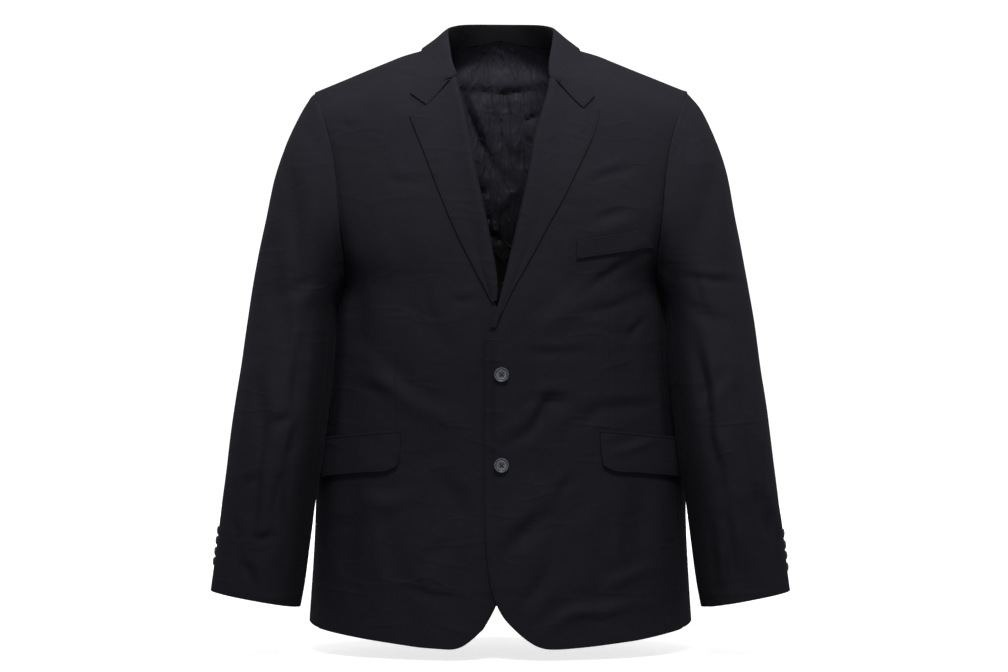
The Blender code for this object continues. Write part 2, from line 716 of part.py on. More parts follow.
def make_welt(name, mat):
    corners = [np.array(c) for c in WELT]
    outer = []
    inner = []
    for i in range(3):
        w = i / 2
        line_out = []
        line_in = []
        for j in range(6):
            u = j / 5
            low = corners[0] + (corners[1] - corners[0]) * u
            top = corners[3] + (corners[2] - corners[3]) * u
            x, z = low + (top - low) * w
            line_out.append(on_front(x, z, LAYER + CLOTH * 1.2))
            line_in.append(on_front(x, z, LAYER))
        outer.append(line_out)
        inner.append(line_in)
    return wall(name, outer, inner, mat)


# ---------------------------------------------------------------- buttons
def lathe(profile, segments):
    """Points and faces of a turned body about +Z, closed at both ends."""
    verts = []
    faces = []
    for radius, height in profile[1:-1]:
        for k in range(segments):
            a = 2 * math.pi * k / segments
            verts.append((radius * math.cos(a), radius * math.sin(a), height))
    rings = len(profile) - 2
    for i in range(rings - 1):
        for k in range(segments):
            n = (k + 1) % segments
            faces.append((i * segments + k, i * segments + n, (i + 1) * segments + n, (i + 1) * segments + k))
    faces.append(tuple(reversed(range(segments))))
    faces.append(tuple((rings - 1) * segments + k for k in range(segments)))
    return verts, faces


def make_button(name, radius, centre, normal, segments, hole_sides, mat):
    """Four-hole button with a raised rim and a dished middle, turned to face the normal."""
    thick = radius * 0.36
    profile = (
        (0.0, 0.0), (radius * 0.80, 0.0), (radius, thick * 0.45), (radius * 0.96, thick * 0.85),
        (radius * 0.84, thick), (radius * 0.70, thick * 0.72), (0.0, thick * 0.72),
    )
    verts, faces = lathe(profile, segments)
    z_axis = np.array(normal) / np.linalg.norm(normal)
    x_axis = np.cross((0.0, 0.0, 1.0), z_axis)
    x_axis = x_axis / np.linalg.norm(x_axis)
    y_axis = np.cross(z_axis, x_axis)
    frame = np.stack((x_axis, y_axis, z_axis))

    def place(points):
        return np.asarray(points) @ frame + np.asarray(centre)

    button = add_solid(name, place(verts), faces, mat, math.radians(40))
    for k in range(4):
        a = math.pi / 4 + k * math.pi / 2
        hole, hole_faces = lathe(((0, -0.002), (radius * 0.105, -0.002), (radius * 0.105, thick + 0.002),
                                  (0, thick + 0.002)), hole_sides)
        hole = np.asarray(hole) + (radius * 0.26 * math.cos(a), radius * 0.26 * math.sin(a), 0.0)
        cutter = add_solid(name + "_cutter", place(hole), hole_faces, mat)
        cutter.hide_render = True
        cutter.display_type = "WIRE"
        modifier = button.modifiers.new("hole", "BOOLEAN")
        modifier.operation = "DIFFERENCE"
        modifier.solver = "EXACT"
        modifier.object = cutter
        bpy.context.view_layer.update()
        graph = bpy.context.evaluated_depsgraph_get()
        cut = bpy.data.meshes.new_from_object(button.evaluated_get(graph))
        button.modifiers.clear()
        button.data = cut
        bpy.data.objects.remove(cutter, do_unlink=True)
    return button


# ---------------------------------------------------------------- the jacket
def main():
    for obj in list(bpy.data.objects):
        bpy.data.objects.remove(obj, do_unlink=True)

    wool = material("wool_cloth", WOOL, 0.85, 0.0)
    satin = material("satin_lining", SATIN, 0.45, 0.0)
    horn = material("button_horn", HORN, 0.35, 0.0)

    make_front("front_left", 1, LEFT_EDGE, LEFT_HEM, wool)
    make_front("front_right", -1, RIGHT_EDGE, RIGHT_HEM, wool)
    for word, side in (("left", 1), ("right", -1)):
        make_side("side_" + word, side, wool)
        make_back("back_" + word, side, wool)
        make_lining("lining_" + word, side, satin)
        make_sleeve("top_sleeve_" + word, side, 9, False, wool)
        make_sleeve("under_sleeve_" + word, side, 7, True, wool)
        make_flap("flap_" + word, side, wool)
        make_jetting("jetting_" + word, side, wool)
    make_lapel("lapel_left", 1, LEFT_ROLL, LEFT_LAPEL, 0.0150, wool)
    make_lapel("lapel_right", -1, RIGHT_ROLL, RIGHT_LAPEL, 0.0050, wool)
    make_collar("collar", wool)
    make_welt("breast_welt", wool)

    for number, z in enumerate(FRONT_BUTTONS):
        centre = on_front(BUTTON_X, z, 0.0008, True)
        normal = on_front(BUTTON_X, z, 0.01, True) - on_front(BUTTON_X, z, 0.0, True)
        make_button("front_button_%d" % (number + 1), BUTTON_RADIUS, centre, normal, 20, 8, horn)

    for word, side, heights in (("left", 1, CUFF_BUTTONS[0]), ("right", -1, CUFF_BUTTONS[1])):
        for number, z in enumerate(heights):
            row = np.interp(-z, [-r[1] for r in SLEEVE], range(len(SLEEVE)))
            angle = seam_angle(BACK_SEAM, row) + 0.17
            centre = sleeve_point(angle, row, 0.0014)
            normal = sleeve_point(angle, row, 0.01) - sleeve_point(angle, row)
            make_button("cuff_button_%s_%d" % (word, number + 1), CUFF_BUTTON_RADIUS,
                        mirrored(centre, side), mirrored(normal, side), 12, 5, horn)


main()
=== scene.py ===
"""A worn single-breasted suit jacket in dark worsted, with its lining, buttons and stitching.

Metres, +Z up, the front towards -Y. The wearer's left is +X.
"""

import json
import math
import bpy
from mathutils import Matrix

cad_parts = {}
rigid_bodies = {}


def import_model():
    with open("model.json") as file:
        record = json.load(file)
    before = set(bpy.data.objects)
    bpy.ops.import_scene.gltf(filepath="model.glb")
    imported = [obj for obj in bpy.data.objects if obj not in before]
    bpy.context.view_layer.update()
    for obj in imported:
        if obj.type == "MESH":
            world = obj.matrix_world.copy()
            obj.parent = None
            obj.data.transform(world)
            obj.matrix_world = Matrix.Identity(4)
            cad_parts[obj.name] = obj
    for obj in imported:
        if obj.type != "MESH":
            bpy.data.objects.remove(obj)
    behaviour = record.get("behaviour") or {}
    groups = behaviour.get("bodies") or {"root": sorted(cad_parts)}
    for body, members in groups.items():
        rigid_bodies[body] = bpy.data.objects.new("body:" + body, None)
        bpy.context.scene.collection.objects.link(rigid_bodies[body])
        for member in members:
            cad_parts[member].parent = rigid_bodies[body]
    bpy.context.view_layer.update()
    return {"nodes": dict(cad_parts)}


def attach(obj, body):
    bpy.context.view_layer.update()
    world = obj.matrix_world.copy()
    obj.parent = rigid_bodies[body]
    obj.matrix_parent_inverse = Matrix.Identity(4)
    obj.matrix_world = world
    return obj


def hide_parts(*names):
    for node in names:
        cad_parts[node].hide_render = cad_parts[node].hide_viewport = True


bl_info = {
    "name": "Suit jacket",
    "version": (1, 0, 0),
    "blender": (4, 5, 0),
    "location": "3D View > Sidebar > Jacket",
    "description": "Dresses the jacket's panels in creased worsted, satin and horn buttons",
    "category": "Object",
}

import bmesh
import bpy
import numpy as np
from bpy.props import FloatProperty, FloatVectorProperty, PointerProperty
from mathutils import Vector, bvhtree, kdtree, noise

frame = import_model()


# ---------------------------------------------------------------- sizes and colours
class JacketSizes(bpy.types.PropertyGroup):
    cloth: FloatProperty(
        name="Cloth thickness", description="Thickness of the outer cloth with its interlining",
        default=0.0018, min=0.0008, max=0.003, unit="LENGTH")
    lining: FloatProperty(
        name="Lining thickness", description="Thickness of the back lining",
        default=0.0010, min=0.0004, max=0.002, unit="LENGTH")
    crease: FloatProperty(
        name="Crease strength", description="How deep the creases are, 1 as worn",
        default=1.0, min=0.0, max=2.0)
    lift: FloatProperty(
        name="Shoulder lift", description="How far padding holds the shoulder cloth up",
        default=0.0042, min=0.0, max=0.008, unit="LENGTH")
    drape: FloatProperty(
        name="Drape", description="Height of the slow waves between the creases",
        default=0.0011, min=0.0, max=0.004, unit="LENGTH")
    edge_round: FloatProperty(
        name="Edge roundness", description="Rounding of the folded cloth edges",
        default=0.0005, min=0.0001, max=0.0009, unit="LENGTH")
    yarn: FloatProperty(
        name="Yarn pitch", description="Distance between two twill lines of the worsted",
        default=0.0008, min=0.0003, max=0.003, unit="LENGTH")
    stitch_inset: FloatProperty(
        name="Stitch inset", description="Distance of the edge stitching from the edge",
        default=0.0025, min=0.001, max=0.01, unit="LENGTH")
    stitch_pitch: FloatProperty(
        name="Stitch pitch", description="Distance from one stitch to the next",
        default=0.0045, min=0.002, max=0.01, unit="LENGTH")
    button: FloatProperty(
        name="Front button radius", description="Radius of the two front buttons",
        default=0.0095, min=0.005, max=0.02, unit="LENGTH")
    cuff_button: FloatProperty(
        name="Cuff button radius", description="Radius of the cuff buttons",
        default=0.0057, min=0.003, max=0.01, unit="LENGTH")


class JacketColours(bpy.types.PropertyGroup):
    wool: FloatVectorProperty(
        name="Worsted", description="Colour of the outer cloth", subtype="COLOR", size=3,
        default=(0.0170, 0.0160, 0.0220), min=0.0, max=1.0)
    nap: FloatVectorProperty(
        name="Nap", description="Colour of the fine nap on the outer cloth", subtype="COLOR", size=3,
        default=(0.62, 0.62, 0.80), min=0.0, max=1.0)
    satin: FloatVectorProperty(
        name="Lining", description="Colour of the satin lining", subtype="COLOR", size=3,
        default=(0.0350, 0.0330, 0.0440), min=0.0, max=1.0)
    horn: FloatVectorProperty(
        name="Buttons", description="Colour of the buttons", subtype="COLOR", size=3,
        default=(0.075, 0.080, 0.100), min=0.0, max=1.0)
    thread: FloatVectorProperty(
        name="Thread", description="Colour of the sewing thread", subtype="COLOR", size=3,
        default=(0.012, 0.012, 0.016), min=0.0, max=1.0)
    floor: FloatVectorProperty(
        name="Floor", description="Colour of the floor and backdrop", subtype="COLOR", size=3,
        default=(0.90, 0.90, 0.90), min=0.0, max=1.0)


# ---------------------------------------------------------------- creases, in millimetres
# Each is (half width, height, and its line as x, z, x, z ...). A line is seen from the front or
# the back, a positive height stands out and a negative one sinks in, and a shallower fold of the
# other kind lies beside it, on its left when its line is followed.
FRONT_LEFT_CREASES = (
    (7, -5.4, 3, -519, 42, -493, 60, -462, 89, -462),
    (6, -2.7, 20, -467, 42, -457, 69, -455, 89, -462),
    (7, -3.5, 85, -499, 97, -481, 126, -469, 175, -467, 212, -465),
    (6, -2.4, 97, -497, 115, -481, 135, -470),
    (6, -2.2, 31, -396, 69, -400, 112, -395),
    (7, -2.7, 74, -579, 94, -555),
    (12, -4.9, -1, -664, 31, -628, 69, -595),
    (8, 3.5, 51, -760, 69, -743, 94, -728, 135, -726, 175, -718),
    (7, 2.4, 135, -694, 158, -685, 192, -674),
    (7, -2.4, 94, -333, 135, -302, 194, -265),
    (5, -2.7, 104, -185, 141, -170, 178, -161),
    (5, -2.4, 117, -229, 146, -222, 177, -219),
    (4, -1.9, 82, -210, 89, -213, 99, -212),
    (15, -4.7, 172, -560, 180, -611, 186, -680),
    (20, 2.8, 60, -560, 46, -620, 44, -690),
    (18, 2.3, 118, -590, 112, -640, 116, -700),
    (16, -2.5, 150, -330, 163, -380, 170, -430),
    (16, 2.0, 60, -300, 84, -345, 96, -400),
    (10, 1.9, 100, -250, 150, -236, 196, -205),
    (7, -2.2, 107, -351, 150, -338, 189, -322),
    (12, 2.4, 46, -370, 94, -338, 135, -306),
    (6, -2.2, 167, -378, 178, -364, 189, -351),
    (9, -3.0, 65, -661, 46, -699, 21, -727),
    (6, 1.6, 138, -528, 170, -520, 208, -508),
    (10, -2.0, 112, -640, 126, -690, 122, -740),
    (10, 2.2, 30, -560, 52, -576, 60, -600),
    (9, 1.9, 148, -600, 150, -650, 160, -700),
)
FRONT_RIGHT_CREASES = (
    (11, 4.3, -183, -402, -136, -445, -105, -467, -59, -485),
    (6, -2.2, -186, -442, -158, -447, -127, -456),
    (9, 3.5, -191, -583, -137, -589, -99, -567),
    (8, -2.4, -143, -600, -153, -621, -163, -643),
    (5, -2.2, -145, -179, -115, -181, -86, -179),
    (4, -1.9, -203, -106, -192, -108, -179, -106),
    (4, -1.6, -131, -43, -117, -41, -105, -42),
    (16, -3.1, -196, -256, -186, -332, -180, -402),
    (8, -2.2, -216, -623, -197, -619, -175, -616),
    (13, -1.7, -121, -332, -89, -370, -58, -389),
    (13, -2.3, -77, -547, -61, -585, -39, -611),
    (15, -3.7, -186, -560, -192, -620, -196, -690),
    (18, 2.3, -70, -640, -84, -690, -92, -745),
    (16, -2.0, -136, -640, -128, -690, -130, -750),
    (10, -1.9, -60, -520, -96, -532, -126, -548),
    (15, 1.7, -155, -240, -140, -300, -150, -350),
    (6, -2.0, -178, -411, -164, -418, -150, -428),
    (9, -4.6, -16, -330, -17, -440, -15, -560, -9, -620),
    (6, -1.9, -60, -332, -46, -334, -30, -330),
    (7, -1.9, -96, -322, -92, -340, -84, -360),
    (12, -2.0, -30, -420, -44, -470, -36, -520),
    (9, 2.2, -150, -590, -156, -640, -150, -700),
    (9, -1.9, -118, -690, -92, -706, -60, -712),
    (10, 1.8, -62, -622, -92, -640, -120, -664),
)
BACK_CREASES = (
    (9, -3.2, -150, -120, -90, -136, -30, -132),
    (10, -3.0, 30, -150, 84, -158, 140, -146),
    (12, -4.3, -186, -230, -140, -270, -86, -292),
    (12, -4.6, 186, -238, 146, -286, 98, -306),
    (9, -4.3, -200, -402, -140, -428, -70, -431, -14, -420),
    (9, -4.1, 206, -420, 150, -440, 90, -437, 16, -446),
    (8, -3.0, -150, -470, -100, -462, -48, -470),
    (8, -3.2, 150, -492, 96, -480, 44, -488),
    (20, 3.6, -120, -560, -136, -640, -140, -720),
    (20, 3.3, 112, -566, 124, -646, 130, -726),
    (20, -2.9, -40, -590, -52, -660, -56, -730),
    (19, -2.8, 50, -600, 58, -670, 54, -735),
    (16, -3.1, -190, -560, -200, -630, -206, -700),
    (16, -3.1, 196, -556, 204, -626, 210, -690),
    (24, 2.5, -110, -200, -60, -330, -50, -400),
    (24, 2.3, 110, -214, 66, -336, 50, -404),
)
SLEEVE_LEFT_CREASES = (
    (6, -2.6, 252, -380, 262, -450, 266, -510, 272, -560),
    (6, -2.4, 310, -470, 322, -540, 330, -610, 338, -680),
    (8, -2.0, 276, -150, 270, -220, 276, -280),
    (7, 2.2, 288, -330, 296, -400, 302, -450),
    (6, -2.0, 284, -590, 292, -640, 298, -690),
    (6, -2.0, 248, -300, 256, -330, 268, -352),
    (5, -3.0, 226, -300, 265, -305, 310, -309),
    (8, -4.1, 261, -499, 278, -547, 280, -583),
    (7, -3.5, 264, -608, 269, -649, 270, -693),
    (6, 2.4, 280, -642, 283, -674, 284, -699),
    (7, -3.5, 327, -573, 341, -611, 348, -636),
    (5, -2.4, 339, -603, 345, -636, 346, -661),
    (11, -4.6, 240, -370, 253, -433, 260, -497),
    (11, -3.8, 303, -433, 313, -497, 318, -547),
    (12, -3.2, 262, -170, 256, -230, 262, -290),
    (8, -3.5, 284, -420, 272, -440, 250, -452),
    (12, 3.0, 298, -560, 304, -620, 314, -680),
    (9, -2.4, 232, -330, 262, -352, 300, -360),
)
SLEEVE_RIGHT_CREASES = (
    (6, -2.6, -296, -470, -306, -540, -312, -610, -322, -680),
    (7, -2.4, -272, -330, -276, -400, -284, -450),
    (8, -2.0, -252, -160, -262, -240, -258, -320),
    (7, 2.2, -318, -400, -326, -470, -334, -540),
    (5, 2.0, -268, -480, -276, -520, -284, -560),
    (8, -4.3, -269, -542, -281, -579, -283, -617, -294, -646),
    (6, -3.0, -297, -493, -281, -486, -263, -481),
    (7, -3.8, -265, -531, -259, -509, -255, -490),
    (5, -2.4, -312, -637, -298, -633, -286, -633),
    (5, -2.4, -326, -565, -315, -560, -303, -554),
    (9, -3.8, -311, -433, -302, -484, -302, -522),
    (7, -2.4, -330, -661, -320, -680, -315, -699),
    (11, -5.1, -254, -370, -258, -433, -256, -484),
    (11, -3.8, -281, -140, -270, -200, -268, -260),
    (12, -3.0, -300, -250, -290, -310, -296, -370),
    (9, -2.4, -240, -300, -262, -318, -290, -326),
    (8, 3.0, -258, -590, -262, -640, -270, -700),
    (7, -2.2, -340, -600, -336, -640, -340, -690),
)
SLEEVE_BACK_CREASES = (
    (8, -3.8, 226, -300, 262, -330, 306, -344),
    (8, -4.3, 238, -380, 270, -410, 318, -428),
    (8, -4.1, 246, -440, 276, -452, 326, -452),
    (11, -4.3, 258, -500, 280, -560, 286, -640),
    (11, 3.2, 322, -520, 326, -590, 334, -660),
    (12, -3.2, 256, -140, 250, -200, 246, -260),
)
LINING_CREASES = (
    (5, -5.0, -60, -40, 0, -46, 62, -40),
    (4, -5.9, -12, -83, -4, -85, 9, -85),
    (4, -7.0, 31, -84, 40, -80, 52, -72),
    (6, -8.6, -56, -26, -52, -46, -45, -70, -34, -98, -22, -125, -6, -151, 9, -166, 24, -184),
    (5, 8.5, 22, -175, 9, -189, -6, -206),
    (7, -10.7, -20, -178, -30, -182, -40, -178),
    (4, -7.0, -24, -220, -14, -213, -6, -207),
    (4, -6.4, -20, -236, -6, -244, 8, -243),
    (6, 4.8, 24, -60, 16, -84, 22, -112, 14, -140),
    (5, -4.8, 36, -110, 28, -128, 30, -150),
    (6, 4.3, -30, -60, -22, -84, -26, -110),
    (5, -4.3, 4, -110, 10, -132, 2, -150),
    (5, 4.8, -2, -196, -8, -222, -2, -244),
    (4, -4.3, 30, -190, 24, -206, 10, -222),
    (4, 4.8, -40, -150, -28, -160, -14, -164),
    (4, 4.3, -46, -196, -36, -208, -22, -214),
    (5, 3.7, -10, -40, -4, -52, -8, -66),
    (5, 3.7, 46, -46, 40, -56, 44, -70),
    (14, 3.4, -100, -120, -90, -180, -96, -250),
    (14, 3.4, 100, -130, 92, -190, 98, -260),
    (10, -3.1, -80, -320, -30, -340, 20, -334),
    (10, -3.1, 90, -380, 40, -396, -20, -390),
    (12, -2.8, -120, -470, -60, -480, -10, -470),
    (18, 2.8, 60, -520, 70, -600, 64, -690),
    (18, 2.8, -70, -530, -76, -610, -70, -700),
    (3, -3.0, -36, -44, -30, -58, -34, -74),
    (3, -2.8, 14, -46, 10, -62, 16, -80),
    (3, -2.8, -2, -88, 0, -104, -6, -120),
    (3, -2.6, 24, -92, 30, -106, 44, -112),
    (3, -2.8, 12, -120, 24, -128, 34, -142),
    (3, 2.6, -20, -96, -12, -106, -14, -122),
    (3, -3.2, -34, -196, -22, -200, -12, -196),
    (3, -3.0, -8, -222, 2, -230, 12, -232),
    (3, -2.8, 14, -150, 18, -160, 26, -166),
)
# Darts over the pockets: x, top z, bottom z
DARTS = ((-0.1349, -0.3950, -0.4980), (0.1399, -0.2940, -0.4980))

# How each kind of sheet is cut and held, in metres, and what it rests on; {} is left or right
CUTS = {
    "front": ((0.32, 0.82), 0.188, "hung", ("back_{}",)),
    "side": ((0.16, 0.46), 0.049, "hung", ("front_{}",)),
    "back": ((0.29, 0.80), 0.188, "hung", ("front_{}",)),
    "lining": ((0.29, 0.80), 0.19, "hung", ("back_{}",)),
    "top_sleeve": ((0.28, 0.68), 0.145, "hung", ("front_{}", "back_{}")),
    "under_sleeve": ((0.22, 0.56), 0.083, "hung", ("side_{}",)),
    "lapel": ((0.14, 0.33), 0.0165, "folded", ("front_{}",)),
    "collar": ((0.44, 0.12), 0.039, "folded", ("back_left", "back_right")),
    "flap": ((0.155, 0.052), 0.0076, "hung", ("front_{}",)),
    "jetting": ((0.155, 0.010), 0.0009, "laid", ("front_{}",)),
    "breast_welt": ((0.115, 0.026), 0.0027, "laid", ("front_left",)),
}

LEVELS = 3                  # how often a panel's quads are divided
SEAM_REACH = 0.0075         # borders of panels nearer than this are sewn together
LINING_REACH = 0.003        # the same for the two halves of the lining
SEAM_OVERLAP = 0.00012      # how far sewn borders reach past each other
SEAM_DEPTH = 0.0007         # how far a seam is pulled in
SLEEVE_SEAM_DEPTH = 0.0011
FULLER_HEAD = 0.0032        # how much fuller the left sleeve head is
PRESSED = 0.0022            # how far sleeve and side are pressed together under the arm
SLEEVE_FALL = 0.0008        # how far the rest of the sleeve falls in
LINING_AIR = 0.0085         # how far the loose lining hangs off the back
NO_EDGE = 0.05              # distance given to a point without a stitched edge near it
SIDES = (("left", 1), ("right", -1))

# The body panels and sleeves by node, made once and closed at their seams
SHEETS = {}


# ---------------------------------------------------------------- small helpers
def sizes():
    return bpy.context.scene.jacket_sizes


def colours():
    return bpy.context.scene.jacket_colours


def smoothstep(value, low, high):
    t = np.clip((value - low) / (high - low), 0.0, 1.0)
    return t * t * (3 - 2 * t)


def get_points(mesh):
    co = np.zeros(len(mesh.vertices) * 3)
    mesh.vertices.foreach_get("co", co)
    return co.reshape(-1, 3)


def set_points(mesh, points):
    mesh.vertices.foreach_set("co", np.asarray(points, np.float32).ravel())
    mesh.update()


def get_normals(mesh):
    normals = np.zeros(len(mesh.vertices) * 3)
    mesh.vertex_normals.foreach_get("vector", normals)
    return normals.reshape(-1, 3)


def nearest(points):
    """A tree that finds the nearest of the points."""
    tree = kdtree.KDTree(len(points))
    for k, point in enumerate(points):
        tree.insert(point, k)
    tree.balance()
    return tree


def pick(*objects):
    """Select these alone, the first of them active."""
    bpy.ops.object.select_all(action="DESELECT")
    for obj in objects:
        obj.select_set(True)
    if objects:
        bpy.context.view_layer.objects.active = objects[0]


def link(name, data):
    """A new object in the scene with this mesh, light or camera."""
    obj = bpy.data.objects.new(name, data)
    bpy.context.scene.collection.objects.link(obj)
    return obj


def evaluated(obj):
    """A new mesh of the object with its modifiers."""
    graph = bpy.context.evaluated_depsgraph_get()
    graph.update()
    return bpy.data.meshes.new_from_object(obj.evaluated_get(graph))


def bake(obj):
    """Put the modifiers into the object's own mesh."""
    old = obj.data
    made = evaluated(obj)
    obj.modifiers.clear()
    obj.data = made
    made.name = obj.name
    bpy.data.meshes.remove(old)


def rounded(points, steps=5):
    """Points of a smooth line through a few given ones."""
    pts = np.asarray(points, float)
    padded = np.vstack((2 * pts[0] - pts[1], pts, 2 * pts[-1] - pts[-2]))
    line = []
    for k in range(1, len(padded) - 2):
        p0, p1, p2, p3 = padded[k - 1:k + 3]
        for step in range(steps):
            t = step / steps
            bend = 2 * p0 - 5 * p1 + 4 * p2 - p3 + t * (3 * (p1 - p2) + p3 - p0)
            line.append(p1 + 0.5 * t * (p2 - p0 + t * bend))
    line.append(pts[-1])
    return np.array(line)


def crease_height(x, z, creases):
    """Sum of the creases at points x, z, in metres."""
    total = np.zeros(len(x))
    for width, depth, *places in creases:
        line = rounded(np.reshape(places, (-1, 2)) / 1000.0)
        width = width / 1000.0
        lengths = np.concatenate(([0.0], np.cumsum(np.linalg.norm(np.diff(line, axis=0), axis=1))))
        near = (x > line[:, 0].min() - 5 * width) & (x < line[:, 0].max() + 5 * width)
        near &= (z > line[:, 1].min() - 5 * width) & (z < line[:, 1].max() + 5 * width)
        if not near.any():
            continue
        px = x[near]
        pz = z[near]
        best = np.full(len(px), 1e9)
        side = np.zeros(len(px))
        where = np.zeros(len(px))
        for k in range(len(line) - 1):
            ax, az = line[k]
            dx, dz = line[k + 1] - line[k]
            size = dx * dx + dz * dz
            t = np.clip(((px - ax) * dx + (pz - az) * dz) / size, 0.0, 1.0)
            ex = px - ax - t * dx
            ez = pz - az - t * dz
            gap = np.hypot(ex, ez)
            closer = gap < best
            best = np.where(closer, gap, best)
            side = np.where(closer, np.sign(dx * ez - dz * ex), side)
            where = np.where(closer, (lengths[k] + t * math.sqrt(size)) / lengths[-1], where)
        fade = np.clip(np.sin(np.pi * np.clip(where, 0.03, 0.97)), 0, 1) ** 0.7
        uneven = 1.0 + 0.25 * np.sin(where * 7.0 + depth * 3.0)
        across = best * side
        shape = np.exp(-(across / width) ** 2)
        shape -= 0.5 * np.exp(-((across - 1.7 * width) / (1.3 * width)) ** 2)
        total[near] += depth / 1000.0 * fade * uneven * shape
    return total


def slow_waves(points, scale, seed):
    """Smooth uneven waves from -1 to 1 at a distance scale in metres."""
    shift = Vector((seed * 3.7, seed * 1.9, seed * 5.3))
    stretch = (1.0 / scale, 1.0 / scale, 0.55 / scale)
    return np.array([noise.noise(Vector((p[0] * stretch[0], p[1] * stretch[1], p[2] * stretch[2])) + shift)
                     for p in points])


# ---------------------------------------------------------------- cloth sheets from the panels
def outer_sheet(node):
    """The outer face of a panel as quads: a merged copy of its solid without inner face and rim."""
    bm = bmesh.new()
    bm.from_mesh(frame["nodes"][node].data)
    bmesh.ops.remove_doubles(bm, verts=bm.verts[:], dist=1e-5)
    bmesh.ops.join_triangles(
        bm, faces=bm.faces[:], angle_face_threshold=math.radians(45), angle_shape_threshold=math.radians(75))
    bm.normal_update()
    left = set(bm.faces)
    groups = []
    while left:
        start = left.pop()
        group = [start]
        stack = [start]
        while stack:
            face = stack.pop()
            for edge in face.edges:
                if len(edge.link_faces) == 2 and edge.calc_face_angle(0.0) < math.radians(74):
                    for other in edge.link_faces:
                        if other in left:
                            left.discard(other)
                            group.append(other)
                            stack.append(other)
        groups.append(group)
    groups.sort(key=lambda g: -sum(f.calc_area() for f in g))
    outer = set(groups[0])
    bmesh.ops.delete(bm, geom=[f for f in bm.faces if f not in outer], context="FACES")
    mesh = bpy.data.meshes.new(node + "_cloth")
    bm.to_mesh(mesh)
    bm.free()
    return mesh


def smoothed(name, mesh, levels):
    """Subdivide a sheet so that the smooth surface still passes through its corners."""
    obj = link(name, mesh)
    mod = obj.modifiers.new("smooth", "SUBSURF")
    mod.levels = 1
    mod.render_levels = 1
    mod.boundary_smooth = "PRESERVE_CORNERS"
    rest = get_points(mesh)
    cage = rest.copy()
    for _ in range(3):
        made = evaluated(obj)
        cage += rest - get_points(made)[:len(rest)]
        bpy.data.meshes.remove(made)
        set_points(mesh, cage)
    mod.levels = levels
    mod.render_levels = levels
    bake(obj)
    return obj


def torso_uv(points):
    """Cloth coordinates in metres: round the body and down it."""
    around = np.arctan2(points[:, 0], -points[:, 1] - 0.01)
    return np.stack((around * 0.19, points[:, 2]), axis=1)


def sleeve_axis(z):
    """Middle of a sleeve at a height: distance from the body's middle, and depth."""
    heights = (-0.725, -0.611, -0.489, -0.379, -0.300, -0.200, -0.100)
    return (np.interp(z, heights, (0.315, 0.301, 0.287, 0.272, 0.262, 0.252, 0.245)),
            np.interp(z, heights, (-0.080, -0.074, -0.057, -0.025, -0.010, -0.006, -0.006)))


def sleeve_uv(points):
    side = np.sign(points[:, 0].mean())
    ax, ay = sleeve_axis(points[:, 2])
    around = np.arctan2(points[:, 1] - ay, points[:, 0] * side - ax)
    around = np.where(around < -2.2, around + 2 * math.pi, around)
    return np.stack((around * 0.058, points[:, 2] + 0.15 * points[:, 0] * side), axis=1)


def flat_uv(points):
    return points[:, (0, 2)].copy()


def store_uv(mesh, uv):
    layer = mesh.uv_layers.get("cloth") or mesh.uv_layers.new(name="cloth")
    corners = np.zeros(len(mesh.loops), np.int32)
    mesh.loops.foreach_get("vertex_index", corners)
    layer.data.foreach_set("uv", np.asarray(uv, np.float32)[corners].ravel())


def store_value(mesh, name, values):
    attribute = mesh.attributes.get(name) or mesh.attributes.new(name, "FLOAT", "POINT")
    attribute.data.foreach_set("value", np.asarray(values, np.float32))


def edge_run(mesh, wanted):
    """Distance to the wanted stretch of the sheet's border, and the distance travelled along it."""
    bm = bmesh.new()
    bm.from_mesh(mesh)
    border = [e for e in bm.edges if e.is_boundary]
    links = {}
    for edge in border:
        a, b = edge.verts
        links.setdefault(a.index, []).append(b.index)
        links.setdefault(b.index, []).append(a.index)
    bm.free()
    points = get_points(mesh)
    start = min(links)
    loop = [start]
    last = None
    while True:
        nxt = [n for n in links[loop[-1]] if n != last]
        last = loop[-1]
        if not nxt or nxt[0] == start:
            break
        loop.append(nxt[0])
        if len(loop) > len(links) + 1:
            break
    runs = {}
    length = 0.0
    for k, index in enumerate(loop):
        if k:
            length += float(np.linalg.norm(points[index] - points[loop[k - 1]]))
        runs[index] = length
    use = [i for i in loop if wanted(points[i])]
    if len(use) < 2:
        return np.full(len(points), NO_EDGE), np.zeros(len(points))
    tree = nearest(points[use])
    gaps = np.zeros(len(points))
    along = np.zeros(len(points))
    for k, point in enumerate(points):
        _, found, gap = tree.find(point)
        gaps[k] = gap
        along[k] = runs[use[found]]
    return gaps, along


def in_the_neck(mesh):
    """1 on the collar stand, which faces the neck, and 0 on the turned-down fall: where shade is painted into the
    worsted's colour.
    """
    points = get_points(mesh)
    out = points[:, :2] / np.linalg.norm(points[:, :2], axis=1)[:, None]
    towards = -(get_normals(mesh)[:, :2] * out).sum(axis=1)
    return smoothstep(towards, 0.25, 0.6) * smoothstep(points[:, 1], -0.03, 0.02)


